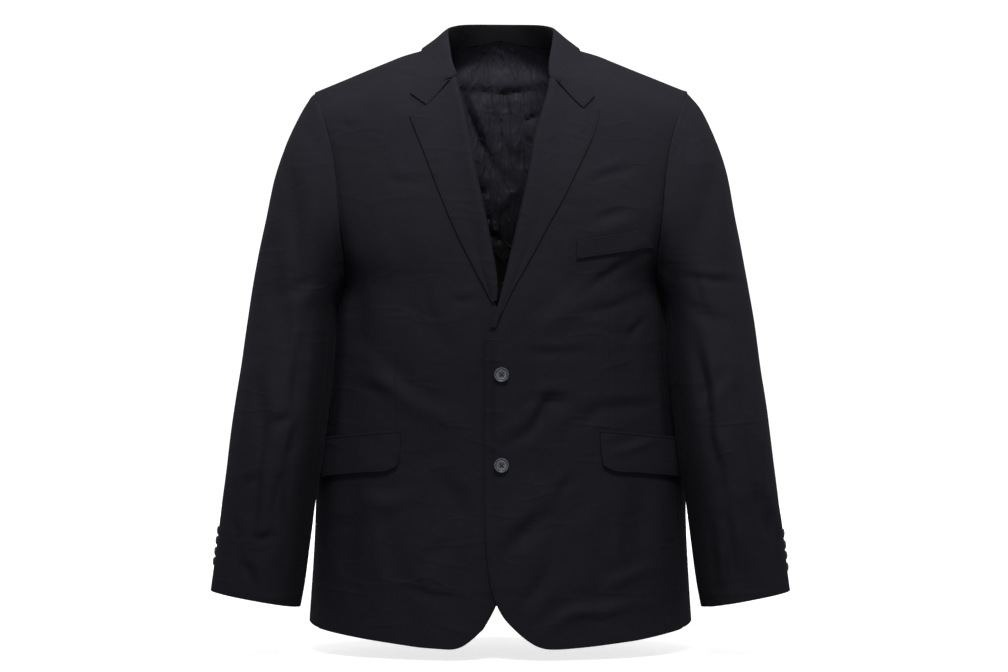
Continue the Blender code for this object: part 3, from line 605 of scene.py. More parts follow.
def finish_cloth(obj, uv, thickness, material, wanted=None):
    """Give the sheet its cloth coordinates, edge attributes, thickness and rounded edges."""
    mesh = obj.data
    store_uv(mesh, uv)
    none = np.zeros(len(mesh.vertices))
    store_value(mesh, "piece", none + 1.7 * (sum(map(ord, obj.name)) % 11))
    # The stand's mask, where the worsted is painted darker as shade.
    store_value(mesh, "stand", in_the_neck(mesh) if obj.name.startswith("collar") else none)
    gaps, along = edge_run(mesh, wanted) if wanted else (none + NO_EDGE, none)
    store_value(mesh, "edge_gap", gaps)
    store_value(mesh, "edge_run", along)
    solid = obj.modifiers.new("thickness", "SOLIDIFY")
    solid.thickness = thickness
    solid.offset = -1.0
    bevel = obj.modifiers.new("edges", "BEVEL")
    bevel.width = min(sizes().edge_round, thickness * 0.3)
    bevel.segments = 2
    bevel.limit_method = "ANGLE"
    bevel.angle_limit = math.radians(60)
    bake(obj)
    obj.data.materials.clear()
    obj.data.materials.append(material)
    obj.data.polygons.foreach_set("use_smooth", np.ones(len(obj.data.polygons), bool))
    obj.data.set_sharp_from_angle(angle=math.radians(65))
    obj.data.update()


def creased_sheet(node, field):
    """A smooth sheet on a panel's form with the creases of its field pressed in."""
    obj = smoothed(node + "_cloth", outer_sheet(node), LEVELS)
    points = get_points(obj.data)
    normals = get_normals(obj.data)
    height = field(points, normals)
    set_points(obj.data, points + normals * height[:, None])
    return obj


def border_of(mesh):
    """Border vertices of a sheet, the border edges, and the direction out of the sheet at each."""
    bm = bmesh.new()
    bm.from_mesh(mesh)
    edges = [(e.verts[0].index, e.verts[1].index) for e in bm.edges if e.is_boundary]
    out = {}
    for vert in bm.verts:
        if vert.is_boundary:
            inner = [e.other_vert(vert).co for e in vert.link_edges if not e.is_boundary]
            away = vert.co - sum(inner, Vector()) / len(inner) if inner else Vector()
            out[vert.index] = np.array(away.normalized())
    bm.free()
    return out, edges


def close_seams(sheets, reach):
    """Bring the borders of neighbouring sheets together at their seams."""
    borders = {}
    lines = {}
    for name, obj in sheets.items():
        out, edges = border_of(obj.data)
        points = get_points(obj.data)
        borders[name] = (out, points)
        line = []
        for a, b in edges:
            steps = max(2, int(np.linalg.norm(points[a] - points[b]) / 0.0007))
            for k in range(steps):
                line.append(points[a] + (points[b] - points[a]) * k / steps)
        lines[name] = line
    moved = {}
    for name, (out, points) in borders.items():
        apart = {"front_left": "front_right", "front_right": "front_left"}.get(name)
        others = [p for other, line in lines.items() if other not in (name, apart) for p in line]
        tree = nearest(others)
        new = points.copy()
        for index, away in out.items():
            place, _, gap = tree.find(points[index])
            if gap < reach:
                new[index] = (points[index] + np.array(place)) / 2 + away * SEAM_OVERLAP
        moved[name] = new
    for name, new in moved.items():
        normals = get_normals(sheets[name].data)
        index = [k for k in borders[name][0] if not np.array_equal(new[k], borders[name][1][k])]
        new[index] -= normals[index] * (SLEEVE_SEAM_DEPTH if "sleeve" in name else SEAM_DEPTH)
        set_points(sheets[name].data, new)


def paint_contact_shade(sheets):
    """Mark where shade is painted darker into the cloth's colour: sleeve and body where they are
    near each other, the inner side of the sleeves, and the right front next to the left one's edge, as its
    painted shadow."""
    sleeves = [name for name in sheets if "sleeve" in name]
    body = [name for name in sheets if "sleeve" not in name]
    for mine, others in ((sleeves, body), (body, sleeves)):
        tree = nearest(np.vstack([get_points(sheets[name].data)[::2] for name in others]))
        for name in mine:
            points = get_points(sheets[name].data)
            gap = np.array([tree.find(p)[2] for p in points])
            # Painted shade where sleeve and body come near each other, and on the sleeves' inner sides.
            rubbed = 1 - smoothstep(gap, 0.004, 0.026)
            if "sleeve" in name:
                ax, _ = sleeve_axis(points[:, 2])
                rubbed = np.maximum(rubbed, 0.62 * smoothstep(ax - np.abs(points[:, 0]), 0.004, 0.050))
            rubbed = smoothstep(-points[:, 2], 0.20, 0.29) * rubbed
            # Painted shadow of the left front's edge on the right front.
            if name == "front_right":
                under = smoothstep(points[:, 0], -0.030, -0.006) * smoothstep(-points[:, 2], 0.34, 0.40)
                rubbed = np.maximum(rubbed, 0.45 * under * (points[:, 1] < 0))
            store_value(sheets[name].data, "rubbed", rubbed)


def panel_sheets():
    """Sheets of the body panels and sleeves, closed at their seams. They are made once."""
    if not SHEETS:
        for word, _ in SIDES:
            for kind in ("front", "side", "back", "top_sleeve", "under_sleeve"):
                node = kind + "_" + word
                SHEETS[node] = creased_sheet(node, sleeve_field if "sleeve" in kind else torso_field)
        close_seams(SHEETS, SEAM_REACH)
        paint_contact_shade(SHEETS)
    return SHEETS


def dress(obj, uv, wanted=None):
    """Finish a sheet as a piece of cloth in place of its panel."""
    node = obj.name.removesuffix("_cloth")
    kind, _, word = (node, "", "") if node in CUTS else node.rpartition("_")
    satin = kind == "lining"
    finish_cloth(obj, uv(get_points(obj.data)), sizes().lining if satin else sizes().cloth,
                 satin_material() if satin else wool_material(), wanted)
    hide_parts(node)
    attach(obj, "root")


def shoulder_lift(points):
    """Height of the padded shoulder over the plain form, and of the fuller left sleeve head."""
    x, z = points[:, 0], points[:, 2]
    body = smoothstep(np.abs(x), 0.085, 0.135) * smoothstep(z, -0.145, -0.085)
    head = smoothstep(np.abs(x), 0.235, 0.262) * smoothstep(z, -0.235, -0.13)
    fuller = smoothstep(x, 0.235, 0.262) * smoothstep(z, -0.24, -0.10)
    return sizes().lift * np.maximum(body, head) + FULLER_HEAD * fuller


def contact(points):
    """1 where the hanging sleeve rests against the side of the body."""
    z = points[:, 2]
    high = smoothstep(z, -0.60, -0.52) * smoothstep(-z, 0.285, 0.325)
    return high * smoothstep(np.abs(points[:, 0]), 0.19, 0.21)


def torso_field(points, normals):
    """Creases of fronts, sides, back and what lies on them."""
    x, z = points[:, 0], points[:, 2]
    ahead = smoothstep(-normals[:, 1], 0.05, 0.45)
    behind = smoothstep(normals[:, 1], 0.05, 0.45)
    height = ahead * (crease_height(x, z, FRONT_LEFT_CREASES) + crease_height(x, z, FRONT_RIGHT_CREASES))
    height += behind * crease_height(x, z, BACK_CREASES)
    calm = 1 - 0.8 * smoothstep(z, -0.06, 0.0)
    height *= sizes().crease
    height += calm * sizes().drape * (slow_waves(points, 0.11, 1) + 0.45 * slow_waves(points, 0.045, 2))
    touch = contact(points) * smoothstep(np.abs(normals[:, 0]), 0.5, 0.8)
    return height * (1 - touch) + PRESSED * touch + shoulder_lift(points)


def sleeve_field(points, normals):
    """Creases of a sleeve, calmer on its inner side and in its head."""
    side = np.sign(points[:, 0].mean())
    x, z = points[:, 0], points[:, 2]
    ahead = smoothstep(-normals[:, 1], -0.1, 0.4)
    behind = smoothstep(normals[:, 1], 0.0, 0.45)
    height = ahead * crease_height(x, z, SLEEVE_LEFT_CREASES if side > 0 else SLEEVE_RIGHT_CREASES)
    height += behind * crease_height(x * side, z, SLEEVE_BACK_CREASES)
    height *= 1.15 * sizes().crease
    ax, _ = sleeve_axis(z)
    calm = 1 - 0.75 * smoothstep(z, -0.30, -0.16)
    height += calm * sizes().drape * 1.2 * (slow_waves(points, 0.085, 3) + 0.5 * slow_waves(points, 0.035, 4))
    inner = smoothstep(-(x * side - ax), 0.02, 0.05)
    touch = smoothstep(z, -0.60, -0.52) * smoothstep(-z, 0.285, 0.325) * inner
    height = height * (1 - 0.6 * inner) * (1 - touch) + PRESSED * touch - SLEEVE_FALL * (1 - inner)
    return height + shoulder_lift(points)


def lining_field(points, normals):
    """Crumples of the lining. Its normals point out to the back, so a height towards the wearer is negative."""
    x, z = points[:, 0], points[:, 2]
    loose = smoothstep(-z, 0.006, 0.030) * smoothstep(-z, 0.745, 0.70)
    loose = loose * smoothstep(-np.abs(x), -0.16, -0.10)
    rumpled = LINING_AIR + crease_height(x, z, LINING_CREASES) + 0.0022 * slow_waves(points, 0.030, 5)
    rumpled += 0.0012 * slow_waves(points, 0.014, 6)
    height = -loose * np.clip(rumpled, 0.0, 0.02)
    return height + torso_field(points, normals) - 0.0004


# ---------------------------------------------------------------- shader groups
class Net:
    """Short words for building a node tree."""

    def __init__(self, tree):
        self.tree = tree

    def add(self, kind, **values):
        made = self.tree.nodes.new(kind)
        for key, value in values.items():
            setattr(made, key, value)
        return made

    def put(self, value, socket):
        if isinstance(value, bpy.types.NodeSocket):
            self.tree.links.new(value, socket)
        else:
            socket.default_value = value

    def math(self, operation, a, b=0.0, c=0.0, clamp=False):
        made = self.add("ShaderNodeMath", operation=operation, use_clamp=clamp)
        for socket, given in zip(made.inputs, (a, b, c)):
            self.put(given, socket)
        return made.outputs[0]

    def times(self, a, b):
        return self.math("MULTIPLY", a, b)

    def blend(self, a, share, base, clamp=False):
        """A share of a added to base."""
        return self.math("MULTIPLY_ADD", a, share, base, clamp)

    def off(self, a, b):
        """How far two values are apart."""
        return self.math("ABSOLUTE", self.math("SUBTRACT", a, b))

    def ramp(self, value, low, high, out_low=0.0, out_high=1.0):
        made = self.add("ShaderNodeMapRange", interpolation_type="SMOOTHSTEP")
        for socket, given in zip(made.inputs, (value, low, high, out_low, out_high)):
            self.put(given, socket)
        return made.outputs[0]

    def noise(self, vector, scale, detail=3.0, roughness=0.55, fourth=None):
        made = self.add("ShaderNodeTexNoise", noise_dimensions="3D" if fourth is None else "4D")
        if fourth is not None:
            self.put(fourth, made.inputs["W"])
        for label, given in (("Vector", vector), ("Scale", scale), ("Detail", detail), ("Roughness", roughness)):
            self.put(given, made.inputs[label])
        return made.outputs["Fac"]

    def mix(self, factor, a, b):
        made = self.add("ShaderNodeMix", data_type="RGBA")
        for place, given in (("Factor", factor), (6, a), (7, b)):
            self.put(given, made.inputs[place])
        return made.outputs[2]

    def split(self, vector):
        made = self.add("ShaderNodeSeparateXYZ")
        self.put(vector, made.inputs[0])
        return made.outputs

    def lay(self, vector, scale, turn=0.0, shift=(0.0, 0.0, 0.0)):
        """A place turned about Y, scaled and shifted."""
        made = self.add("ShaderNodeMapping")
        self.put(vector, made.inputs["Vector"])
        made.inputs["Location"].default_value = shift
        made.inputs["Rotation"].default_value = (0.0, turn, 0.0)
        made.inputs["Scale"].default_value = scale
        return made.outputs[0]

    def place(self):
        return self.add("ShaderNodeTexCoord").outputs["Object"]

    def cloth(self):
        return self.add("ShaderNodeUVMap", uv_map="cloth").outputs[0]

    def mark(self, name):
        """A value kept at the points of a sheet."""
        return self.add("ShaderNodeAttribute", attribute_name=name).outputs["Fac"]

    def use(self, group, **values):
        made = self.add("ShaderNodeGroup", node_tree=group)
        self.fill(made, values)
        return made.outputs

    def fill(self, node, values):
        """Set a node's inputs by name, with _ for a space."""
        for key, value in values.items():
            self.put(value, node.inputs[key.replace("_", " ")])

    def surface(self, shader, height, **values):
        """Set the shader's inputs, and its normal from a height in metres."""
        bump = self.add("ShaderNodeBump")
        self.fill(bump, {"Strength": 1.0, "Distance": 1.0, "Height": height})
        self.put(bump.outputs[0], shader.inputs["Normal"])
        self.fill(shader, values)


def group(name, inputs, outputs, build):
    """The shader group of this name, built when it is first asked for. An input without a value is a place."""
    tree = bpy.data.node_groups.get(name)
    if tree is None:
        tree = bpy.data.node_groups.new(name, "ShaderNodeTree")
        for label, value in inputs:
            kind = "NodeSocketVector" if value is None else "NodeSocketFloat"
            socket = tree.interface.new_socket(label, in_out="INPUT", socket_type=kind)
            if value is not None:
                socket.default_value = value
        for label in outputs:
            tree.interface.new_socket(label, in_out="OUTPUT", socket_type="NodeSocketFloat")
        net = Net(tree)
        start = tree.nodes.new("NodeGroupInput").outputs
        net.fill(tree.nodes.new("NodeGroupOutput"), build(net, start))
    return tree


def build_twill(net, start):
    u, v, _ = net.split(start["Cloth place"])
    turns = net.math("DIVIDE", 2 * math.pi, start["Pitch"])
    u = net.times(u, turns)
    v = net.times(v, turns)
    twill = net.math("SINE", net.blend(v, 0.8, u))
    crossed = net.times(net.math("SINE", net.times(u, 2.0)), net.math("SINE", net.times(v, 2.0)))
    height = net.blend(crossed, 0.25, net.blend(twill, 0.35, 0.5))
    stretched = net.lay(start["Cloth place"], (1400.0, 90.0, 1.0))
    return {"Height": height, "Yarn": net.noise(stretched, 1.0, 2.0)}


def build_wear(net, start):
    place, piece = start["Place"], start["Piece"]
    crinkle = 0.0
    for turn, scale in ((0.55, (9.0, 6.0, 25.0)), (-0.75, (8.0, 6.0, 27.0)),
                        (1.35, (7.0, 6.0, 24.0)), (-0.2, (14.0, 8.0, 34.0))):
        lay = net.lay(place, scale, turn, (turn * 3.0, 1.0, turn * 7.0))
        line = net.ramp(net.off(net.noise(lay, 1.0, 1.0, 0.5, piece), 0.5), 0.0, 0.07, 1.0, 0.0)
        here = net.ramp(net.noise(lay, 0.9, 1.0, 0.5, net.math("ADD", piece, 5.0)), 0.52, 0.66)
        crinkle = net.blend(line, here, crinkle)
    return {"Crinkle": crinkle, "Cloud": net.noise(place, start["Cloud size"], 4.0, 0.6),
            "Rumple": net.noise(place, 42.0, 3.0, 0.5), "Fuzz": net.noise(place, 1500.0, 1.0, 0.5)}


def build_stitches(net, start):
    off = net.off(start["Gap"], start["Inset"])
    beat = net.math("FRACT", net.math("DIVIDE", start["Run"], start["Pitch"]))
    dash = net.ramp(net.off(beat, 0.5), 0.14, 0.2, 1.0, 0.0)
    return {"Groove": net.ramp(off, 0.0, 0.0016, 1.0, 0.0),
            "Thread": net.times(net.ramp(off, 0.0002, 0.0005, 1.0, 0.0), dash)}


def twill_group():
    """Fine twill lines crossed by the yarns, as a height, with uneven yarn colour."""
    return group("fine twill", (("Cloth place", None), ("Pitch", 0.0008)), ("Height", "Yarn"), build_twill)


def wear_group():
    """Slow cloudy differences of shade, and fine rumples, fuzz and crinkles over the cloth."""
    return group("cloth wear", (("Place", None), ("Cloud size", 9.0), ("Piece", 0.0)),
                 ("Cloud", "Rumple", "Fuzz", "Crinkle"), build_wear)


def stitch_group():
    """Stitches sunk along an edge, and the slight groove that they pull."""
    return group("edge stitching", (("Gap", NO_EDGE), ("Run", 0.0), ("Inset", 0.0025), ("Pitch", 0.0045)),
                 ("Groove", "Thread"), build_stitches)


# ---------------------------------------------------------------- materials
# Colours of painted shade: on the worsted, and deep down inside the lining.
PAINTED_SHADE_BLACK = (0.0008, 0.0008, 0.0012, 1.0)
PAINTED_LINING_SHADE = (0.0006, 0.0006, 0.0009, 1.0)


def tint(colour, share=1.0):
    """A lighter or darker shade of a colour."""
    return tuple(c * share for c in colour) + (1.0,)


def material(name, colour, build):
    """The material of this name, built when it is first asked for."""
    mat = bpy.data.materials.get(name)
    if mat is None:
        mat = bpy.data.materials.new(name)
        mat.use_nodes = True
        mat.diffuse_color = (*colour, 1.0)
        build(Net(mat.node_tree), mat.node_tree.nodes["Principled BSDF"], tuple(colour))
    return mat


def dart_lines(net, across, depth, height):
    """1 along the darts over the pockets."""
    total = 0.0
    for x, top, low in DARTS:
        line = net.times(net.ramp(net.off(across, x), 0.0, 0.0017, 1.0, 0.0),
                         net.ramp(height, top - 0.012, top, 1.0, 0.0))
        ends = net.times(net.ramp(height, low, low + 0.004, 0.0, 1.0), net.math("LESS_THAN", depth, -0.06))
        total = net.math("ADD", total, net.times(line, ends))
    return total


def build_wool(net, shader, base):
    where = net.place()
    across, depth, up = net.split(where)
    twill = net.use(twill_group(), Cloth_place=net.cloth(), Pitch=sizes().yarn)
    wear = net.use(wear_group(), Place=where, Cloud_size=9.0, Piece=net.mark("piece"))
    stitch = net.use(stitch_group(), Gap=net.mark("edge_gap"), Run=net.mark("edge_run"),
                     Inset=sizes().stitch_inset, Pitch=sizes().stitch_pitch)
    shade = net.blend(wear["Cloud"], 0.35, net.times(twill["Yarn"], 0.35))
    # Painted light: the colour is made lighter towards the top.
    shade = net.blend(net.ramp(up, -0.55, 0.02, 0.0, 1.0), 0.30, shade, clamp=True)
    colour = net.mix(shade, tint(base, 0.62), tint(base, 1.75))
    colour = net.mix(net.times(stitch["Thread"], 0.8), colour, tint(colours().thread))
    # Painted shade: the collar stand and the cloth near other cloth are darkened towards near black.
    for label, share in (("stand", 0.85), ("rubbed", 0.75)):
        colour = net.mix(net.times(net.mark(label), share), colour, PAINTED_SHADE_BLACK)
    height = net.times(twill["Height"], 0.00005)
    for value, share in ((wear["Rumple"], 0.0011), (wear["Crinkle"], 0.00042), (wear["Fuzz"], 0.00003),
                         (stitch["Groove"], -0.00010), (stitch["Thread"], -0.00012),
                         (dart_lines(net, across, depth, up), -0.0005)):
        height = net.blend(value, share, height)
    net.surface(shader, height, Base_Color=colour, Roughness=net.blend(wear["Rumple"], 0.16, 0.66),
                Specular_IOR_Level=0.12, Sheen_Weight=0.035, Sheen_Roughness=0.42, Sheen_Tint=tint(colours().nap))


def build_satin(net, shader, base):
    where = net.place()
    twill = net.use(twill_group(), Cloth_place=net.cloth(), Pitch=0.0004)
    wear = net.use(wear_group(), Place=where, Cloud_size=24.0)
    shade = net.blend(wear["Cloud"], 0.7, net.times(twill["Yarn"], 0.3))
    # Painted shade: the lining's colour is darkened further down inside the jacket.
    painted_shade_ramp = net.ramp(net.split(where)[2], -0.275, -0.06, 0.04, 1.0)
    colour = net.mix(painted_shade_ramp, PAINTED_LINING_SHADE, net.mix(shade, tint(base, 0.6), tint(base, 1.8)))
    height = net.blend(wear["Rumple"], 0.0016, net.times(twill["Height"], 0.00001))
    for turn, scale, rise in ((0.35, (75.0, 40.0, 26.0), 0.0007), (-0.7, (60.0, 40.0, 24.0), 0.0006)):
        off = net.off(net.noise(net.lay(where, scale, turn), 1.0, 1.0, 0.5), 0.5)
        height = net.blend(net.ramp(off, 0.0, 0.10, 1.0, 0.0), rise, height)
    net.surface(shader, height, Base_Color=colour, Roughness=net.blend(wear["Rumple"], 0.2, 0.42),
                Specular_IOR_Level=0.08, Sheen_Weight=0.05, Sheen_Roughness=0.3)


def build_horn(net, shader, base):
    where = net.place()
    cloud = net.noise(net.lay(where, (900.0, 200.0, 140.0), 0.6), 1.0, 4.0, 0.6)
    net.surface(shader, net.times(net.noise(where, 700.0, 2.0), 0.00004),
                Base_Color=net.mix(cloud, tint(base, 0.55), tint(base, 1.9)),
                Roughness=net.blend(cloud, 0.14, 0.27), Specular_IOR_Level=0.75)


def build_thread(net, shader, base):
    twist = net.noise(net.place(), 2500.0, 2.0)
    net.surface(shader, net.times(twist, 0.00008), Base_Color=net.mix(twist, tint(base, 0.6), tint(base, 1.8)),
                Roughness=net.blend(twist, 0.2, 0.55))


def build_paper(net, shader, base):
    """Pale floor and backdrop, glowing as painted light, the glow a little dimmer under the jacket."""
    where = net.place()
    away = net.add("ShaderNodeVectorMath", operation="LENGTH")
    net.put(where, away.inputs[0])
    pale = tuple(min(c * 1.02, 1.0) for c in base) + (1.0,)
    # The paper glows as painted light, weaker near the middle under the jacket and full further out.
    net.fill(shader, {"Base Color": net.mix(net.noise(where, 1.5, 2.0), tint(base), pale), "Roughness": 0.9,
                      "Emission Color": (1.0, 1.0, 1.0, 1.0),
                      "Emission Strength": net.ramp(away.outputs["Value"], 1.3, 2.6, 0.74, 1.0)})


def wool_material():
    """Dark worsted with a fine twill, faint clouding, a soft nap, darts and edge stitching, its colour painted
    lighter towards the top and painted darker where shade falls.
    """
    return material("worsted", colours().wool, build_wool)


def satin_material():
    """Dark satin lining, smooth and rumpled, with shade painted darker down inside the jacket."""
    return material("satin", colours().satin, build_satin)


def horn_material():
    """Polished dark horn with faint streaks."""
    return material("horn", colours().horn, build_horn)


def thread_material():
    """Dark twisted sewing thread."""
    return material("thread", colours().thread, build_thread)


# ---------------------------------------------------------------- operators
class JACKET_OT_panels(bpy.types.Operator):
    """Fronts, side panels and back as creased worsted"""
    bl_idname = "jacket.panels"
    bl_label = "Body panels"

    def execute(self, context):
        sheets = panel_sheets()
        for word, side in SIDES:
            dress(sheets["front_" + word], torso_uv,
                  lambda p, s=side: p[2] < -0.335 and (p[0] * s < 0.012 or p[2] < -0.741 and p[0] * s < 0.06))
            dress(sheets["side_" + word], torso_uv)
            dress(sheets["back_" + word], torso_uv)
        return {"FINISHED"}


class JACKET_OT_lining(bpy.types.Operator):
    """Crumpled satin lining of the back, seen inside the neck"""
    bl_idname = "jacket.lining"
    bl_label = "Back lining"

    def execute(self, context):
        sheets = {"lining_" + word: creased_sheet("lining_" + word, lining_field) for word, _ in SIDES}
        close_seams(sheets, LINING_REACH)
        for sheet in sheets.values():
            dress(sheet, torso_uv)
        return {"FINISHED"}


class JACKET_OT_sleeves(bpy.types.Operator):
    """Two-piece sleeves as creased worsted"""
    bl_idname = "jacket.sleeves"
    bl_label = "Sleeves"

    def execute(self, context):
        sheets = panel_sheets()
        for word, _ in SIDES:
            dress(sheets["top_sleeve_" + word], sleeve_uv)
            dress(sheets["under_sleeve_" + word], sleeve_uv)
        return {"FINISHED"}


def lapel_roll(z):
    """Distance of the roll line from the middle at a height."""
    return np.interp(z, (-0.366, -0.31, -0.2536, -0.181, -0.122, -0.0485),
                     (-0.0115, 0.006, 0.02, 0.036, 0.0464, 0.0655))


def lapel_field(points, normals):
    return torso_field(points, normals) + 0.0004


def collar_field(points, normals):
    return sizes().drape * 0.35 * slow_waves(points, 0.05, 7) + shoulder_lift(points)


class JACKET_OT_collar(bpy.types.Operator):
    """Collar and notched lapels"""
    bl_idname = "jacket.collar"
    bl_label = "Collar and lapels"

    def execute(self, context):
        for word, side in SIDES:
            dress(creased_sheet("lapel_" + word, lapel_field), flat_uv,
                  lambda p, s=side: p[0] * s > lapel_roll(p[2]) + 0.012)
        dress(creased_sheet("collar", collar_field), torso_uv,
              lambda p: p[2] < 0.012 and abs(p[0]) > 0.068 or p[1] > 0.075 and p[2] < 0.03)
        return {"FINISHED"}


class JACKET_OT_pockets(bpy.types.Operator):
    """Flaps, jettings and breast welt"""
    bl_idname = "jacket.pockets"
    bl_label = "Pockets"

    def execute(self, context):
        for word, side in SIDES:
            dress(creased_sheet("flap_" + word, torso_field), torso_uv,
                  lambda p, s=side: p[2] < -0.504 - 0.10 * (p[0] * s - 0.126))
            dress(creased_sheet("jetting_" + word, torso_field), torso_uv)
        dress(creased_sheet("breast_welt", torso_field), torso_uv, lambda p: True)
        return {"FINISHED"}


# Radius and height along the button's section, from its back to its dish, as shares of its radius
BUTTON_PROFILE = ((0.78, 0.0), (0.95, 0.10), (1.0, 0.19), (0.985, 0.29), (0.94, 0.36), (0.88, 0.375),
                  (0.82, 0.35), (0.775, 0.275), (0.73, 0.245), (0.69, 0.255), (0.66, 0.285), (0.58, 0.275))
HOLE_PLACE = 0.19           # distance of a hole from both middle lines, as a share of the radius
HOLE_RADIUS = 0.085
SHANK = 0.0018              # length of the thread behind a button


def turned_button(radius):
    """A button lying on its back at the origin: rim, groove, dish and four holes."""
    pick()
    bpy.ops.mesh.primitive_circle_add(vertices=48, radius=BUTTON_PROFILE[0][0] * radius, fill_type="NGON")
    button = bpy.context.active_object
    bpy.ops.object.mode_set(mode="EDIT")
    bpy.ops.mesh.select_all(action="SELECT")
    for (r0, z0), (r1, z1) in zip(BUTTON_PROFILE, BUTTON_PROFILE[1:]):
        bpy.ops.mesh.extrude_region_move(TRANSFORM_OT_translate={"value": (0.0, 0.0, (z1 - z0) * radius)})
        grow = r1 / r0
        bpy.ops.transform.resize(value=(grow, grow, 1.0), center_override=(0.0, 0.0, z1 * radius))
    bpy.ops.mesh.select_all(action="SELECT")
    bpy.ops.mesh.normals_make_consistent(inside=False)
    bpy.ops.object.mode_set(mode="OBJECT")
    for k in range(4):
        turn = math.pi / 4 + k * math.pi / 2
        away = HOLE_PLACE * radius * 1.414
        pick()
        bpy.ops.mesh.primitive_cylinder_add(
            vertices=20, radius=HOLE_RADIUS * radius, depth=radius,
            location=(away * math.cos(turn), away * math.sin(turn), 0.15 * radius))
        drill = bpy.context.active_object
        cut = button.modifiers.new("hole", "BOOLEAN")
        cut.operation = "DIFFERENCE"
        cut.solver = "EXACT"
        cut.object = drill
        pick(button)
        bpy.ops.object.modifier_apply(modifier="hole")
        bpy.data.objects.remove(drill, do_unlink=True)
    bevel = button.modifiers.new("worn edges", "BEVEL")
    bevel.width = 0.02 * radius
    bevel.segments = 2
    bevel.limit_method = "ANGLE"
    bevel.angle_limit = math.radians(50)
    bpy.ops.object.modifier_apply(modifier="worn edges")
    bpy.ops.object.shade_smooth_by_angle(angle=math.radians(42))
    return button


def sewn_thread(radius):
    """Two strands crossed over the middle of a button, their ends down in its holes, and the shank behind."""
    parts = []
    for turn in (math.pi / 4, 3 * math.pi / 4):
        for lane in (-0.035, 0.035):
            pick()
            bpy.ops.mesh.primitive_cylinder_add(
                vertices=10, radius=0.034 * radius, depth=0.56 * radius,
                location=(-lane * radius * math.sin(turn), lane * radius * math.cos(turn), 0.31 * radius),
                rotation=(math.pi / 2, 0.0, turn + math.pi / 2))
            parts.append(bpy.context.active_object)
    for k in range(4):
        turn = math.pi / 4 + k * math.pi / 2
        pick()
        bpy.ops.mesh.primitive_cylinder_add(
            vertices=10, radius=0.07 * radius, depth=0.30 * radius + SHANK,
            location=(0.27 * radius * math.cos(turn), 0.27 * radius * math.sin(turn), 0.15 * radius - SHANK / 2))
        parts.append(bpy.context.active_object)
    pick(*parts)
    bpy.ops.object.join()
    bpy.ops.object.transform_apply(location=True, rotation=True, scale=True)
    bpy.ops.object.shade_smooth_by_angle(angle=math.radians(50))
    return parts[0]


CUFF_HEIGHTS = {"left": (-0.6323, -0.6471, -0.6606, -0.6754), "right": (-0.6285, -0.6413, -0.6555, -0.6684)}
CUFF_TURN = math.radians(7)     # how far behind the sleeve's outermost line the buttons lie
CUFF_SHANK = 0.0005             # air between a cuff button and the cloth


def front_seat(node):
    """Foot of a front button's axis, on the highest cloth under it, and its directions: across, up and out."""
    points = get_points(frame["nodes"][node].data)
    middle = points.mean(axis=0)
    _, _, axes = np.linalg.svd(points - middle)
    out = axes[2] if axes[2][1] < 0 else -axes[2]
    height = (points - middle) @ out
    foot = middle + out * height.min()
    radius = np.linalg.norm(points - middle - np.outer(height, out), axis=1).max()
    beside = get_points(SHEETS["front_left"].data) - foot
    height = beside @ out
    under = np.linalg.norm(beside - np.outer(height, out), axis=1) < radius
    foot = foot + out * max(height[under].max(), 0.0)
    across = np.cross((0.0, 0.0, 1.0), out)
    across /= np.linalg.norm(across)
    return foot, np.stack((across, np.cross(out, across), out))


def cuff_seat(node):
    """Foot and directions of a cuff button, on the outer side of the sleeve."""
    _, _, word, number = node.split("_")
    side = 1 if word == "left" else -1
    z = CUFF_HEIGHTS[word][int(number) - 1]
    mesh = SHEETS["top_sleeve_" + word].data
    tree = bvhtree.BVHTree.FromPolygons([v.co for v in mesh.vertices], [p.vertices for p in mesh.polygons])
    ax, ay = sleeve_axis(z)
    away = Vector((side * math.cos(CUFF_TURN), math.sin(CUFF_TURN), 0.0))
    place, out, _, _ = tree.ray_cast(Vector((side * ax, ay, z)) + away * 0.2, -away)
    out = np.array(out)
    out[2] = 0.0
    out /= np.linalg.norm(out)
    across = np.cross((0.0, 0.0, 1.0), out)
    return np.array(place) + out * CUFF_SHANK, np.stack((across, np.cross(out, across), out))


class JACKET_OT_buttons(bpy.types.Operator):
    """Four-hole buttons of the front and the cuffs, sewn on with crossed thread"""
    bl_idname = "jacket.buttons"
    bl_label = "Buttons"

    def execute(self, context):
        for kind, radius in (("front_button", sizes().button), ("cuff_button", sizes().cuff_button)):
            button = turned_button(radius)
            thread = sewn_thread(radius)
            for node in sorted(frame["nodes"]):
                if not node.startswith(kind):
                    continue
                foot, turn = front_seat(node) if kind == "front_button" else cuff_seat(node)
                for master, name, mat, slot in ((button, "turned", horn_material(), "button_horn"),
                                                (thread, "thread", thread_material(), "wool_cloth")):
                    mesh = master.data.copy()
                    set_points(mesh, get_points(master.data) @ turn + foot)
                    mesh.materials.clear()
                    mesh.materials.append(mat)
                    piece = link(node + "_" + name, mesh)
                    if master is button:
                        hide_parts(node)
                    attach(piece, "root")
            bpy.data.objects.remove(button, do_unlink=True)
            bpy.data.objects.remove(thread, do_unlink=True)
        return {"FINISHED"}


FLOOR = -0.790              # height of the floor, under the hem
FLOOR_EDGE = 5.6            # where the round floor bends up
FLOOR_BEND = 1.4            # radius of that bend
WALL_TOP = 6.0
TURNS = 48                  # divisions round the backdrop
WORLD_LIGHT = 0.13
CAMERA_PLACE = (0.0044, -3.2, -0.3775)
CAMERA_LENS = 86.57
